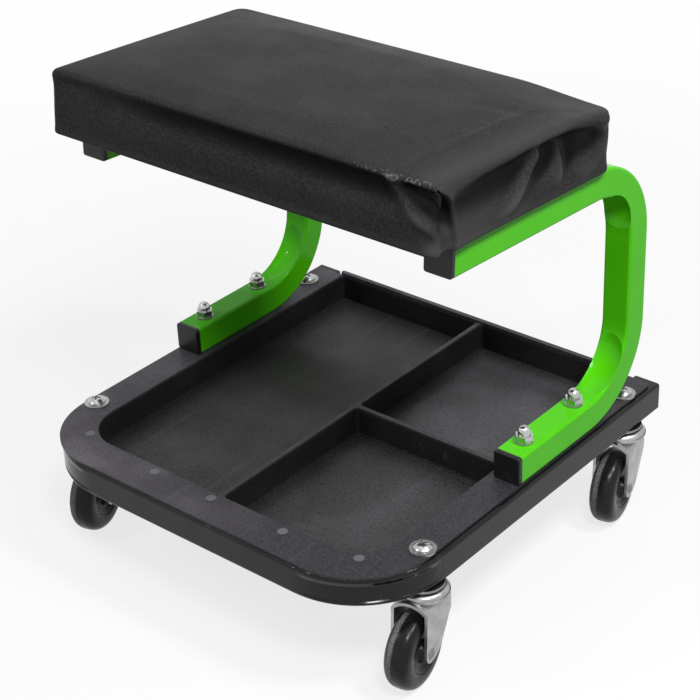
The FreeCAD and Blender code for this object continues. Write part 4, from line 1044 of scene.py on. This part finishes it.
def floor_paint():
    """Pale floor that keeps shadows, near white to the camera and in reflections.

    The light that it throws back is that of a greyer floor, as in a dim room.
    Its share of glow grows with the distance from the middle, to white.
    """
    paint = Paint("pale_floor")
    seen = paint.seen()
    pale = paint.mix(paint.noise(0.4, 3), grey(0.86), grey(0.90))
    plain = paint.node("BsdfDiffuse", inputs={"Color": paint.mix(seen, grey(0.3), pale)})
    glow = paint.node("Emission", inputs={"Color": grey(1), "Strength": 1.0})
    far = paint.vector("LENGTH", paint.position(), output="Value")
    share = seen * far.clamped(0.3, 1.3, 0.78, 0.99)
    return paint.end(paint.node("MixShader", inputs={0: share, 1: plain, 2: glow}))


def studio_sky(strength):
    """White surroundings: plain to whoever sees them, and of that strength as a light."""
    paint = Paint("studio", shelf="worlds")
    level = paint.seen() * (1 - strength) + strength
    return paint.end(paint.node("Background", inputs={"Color": grey(1), "Strength": level}), "World")


class CREEPER_OT_stage(bpy.types.Operator):
    """Adds the floor, the lamps, the white surroundings and the camera"""

    bl_idname = "creeper.stage"
    bl_label = "Make Stage"

    def execute(self, context):
        scene = context.scene
        settings = scene.creeper_stage
        corners = np.array([[-1, -1, 0], [1, -1, 0], [1, 1, 0], [-1, 1, 0]]) * FLOOR_REACH
        floor = new_piece("floor", corners, np.array([[0, 1, 2, 3]]), floor_paint())
        scene.world = studio_sky(settings.world)
        for name, size, place, target in LAMPS:
            add_lamp(name, getattr(settings, name), size, place, target)
        scene.camera = add_camera(settings)
        scene.view_settings.view_transform = "Standard"
        return {"FINISHED"}


# ---- Panel and registration

class CREEPER_PT_panel(bpy.types.Panel):
    """Shows the settings of the cushion, wheels, finishes and stage, each with its maker, in the sidebar"""

    bl_label = "Creeper Seat"
    bl_idname = "CREEPER_PT_panel"
    bl_space_type = "VIEW_3D"
    bl_region_type = "UI"
    bl_category = "Creeper Seat"

    def draw(self, context):
        scene = context.scene
        groups = ((scene.creeper_cushion, "creeper.cushion"), (scene.creeper_wheels, "creeper.wheels"),
                  (scene.creeper_colours, "creeper.finishes"), (scene.creeper_stage, "creeper.stage"))
        for settings, maker in groups:
            box = self.layout.box()
            for name in settings.__annotations__:
                box.prop(settings, name)
            box.operator(maker)


CLASSES = (CushionSizes, WheelSizes, FinishColours, StageSettings, CREEPER_OT_cushion,
           CREEPER_OT_wheels, CREEPER_OT_finishes, CREEPER_OT_stage, CREEPER_PT_panel)


def register():
    for one in CLASSES:
        bpy.utils.register_class(one)
    scene_type = bpy.types.Scene
    scene_type.creeper_cushion = bpy.props.PointerProperty(type=CushionSizes)
    scene_type.creeper_wheels = bpy.props.PointerProperty(type=WheelSizes)
    scene_type.creeper_colours = bpy.props.PointerProperty(type=FinishColours)
    scene_type.creeper_stage = bpy.props.PointerProperty(type=StageSettings)


def unregister():
    for name in ("creeper_cushion", "creeper_wheels", "creeper_colours", "creeper_stage"):
        delattr(bpy.types.Scene, name)
    for one in reversed(CLASSES):
        bpy.utils.unregister_class(one)


def main():
    register()
    bpy.ops.creeper.stage()
    bpy.ops.creeper.cushion()
    bpy.ops.creeper.wheels()
    bpy.ops.creeper.finishes()


if __name__ == "__main__":
    main()
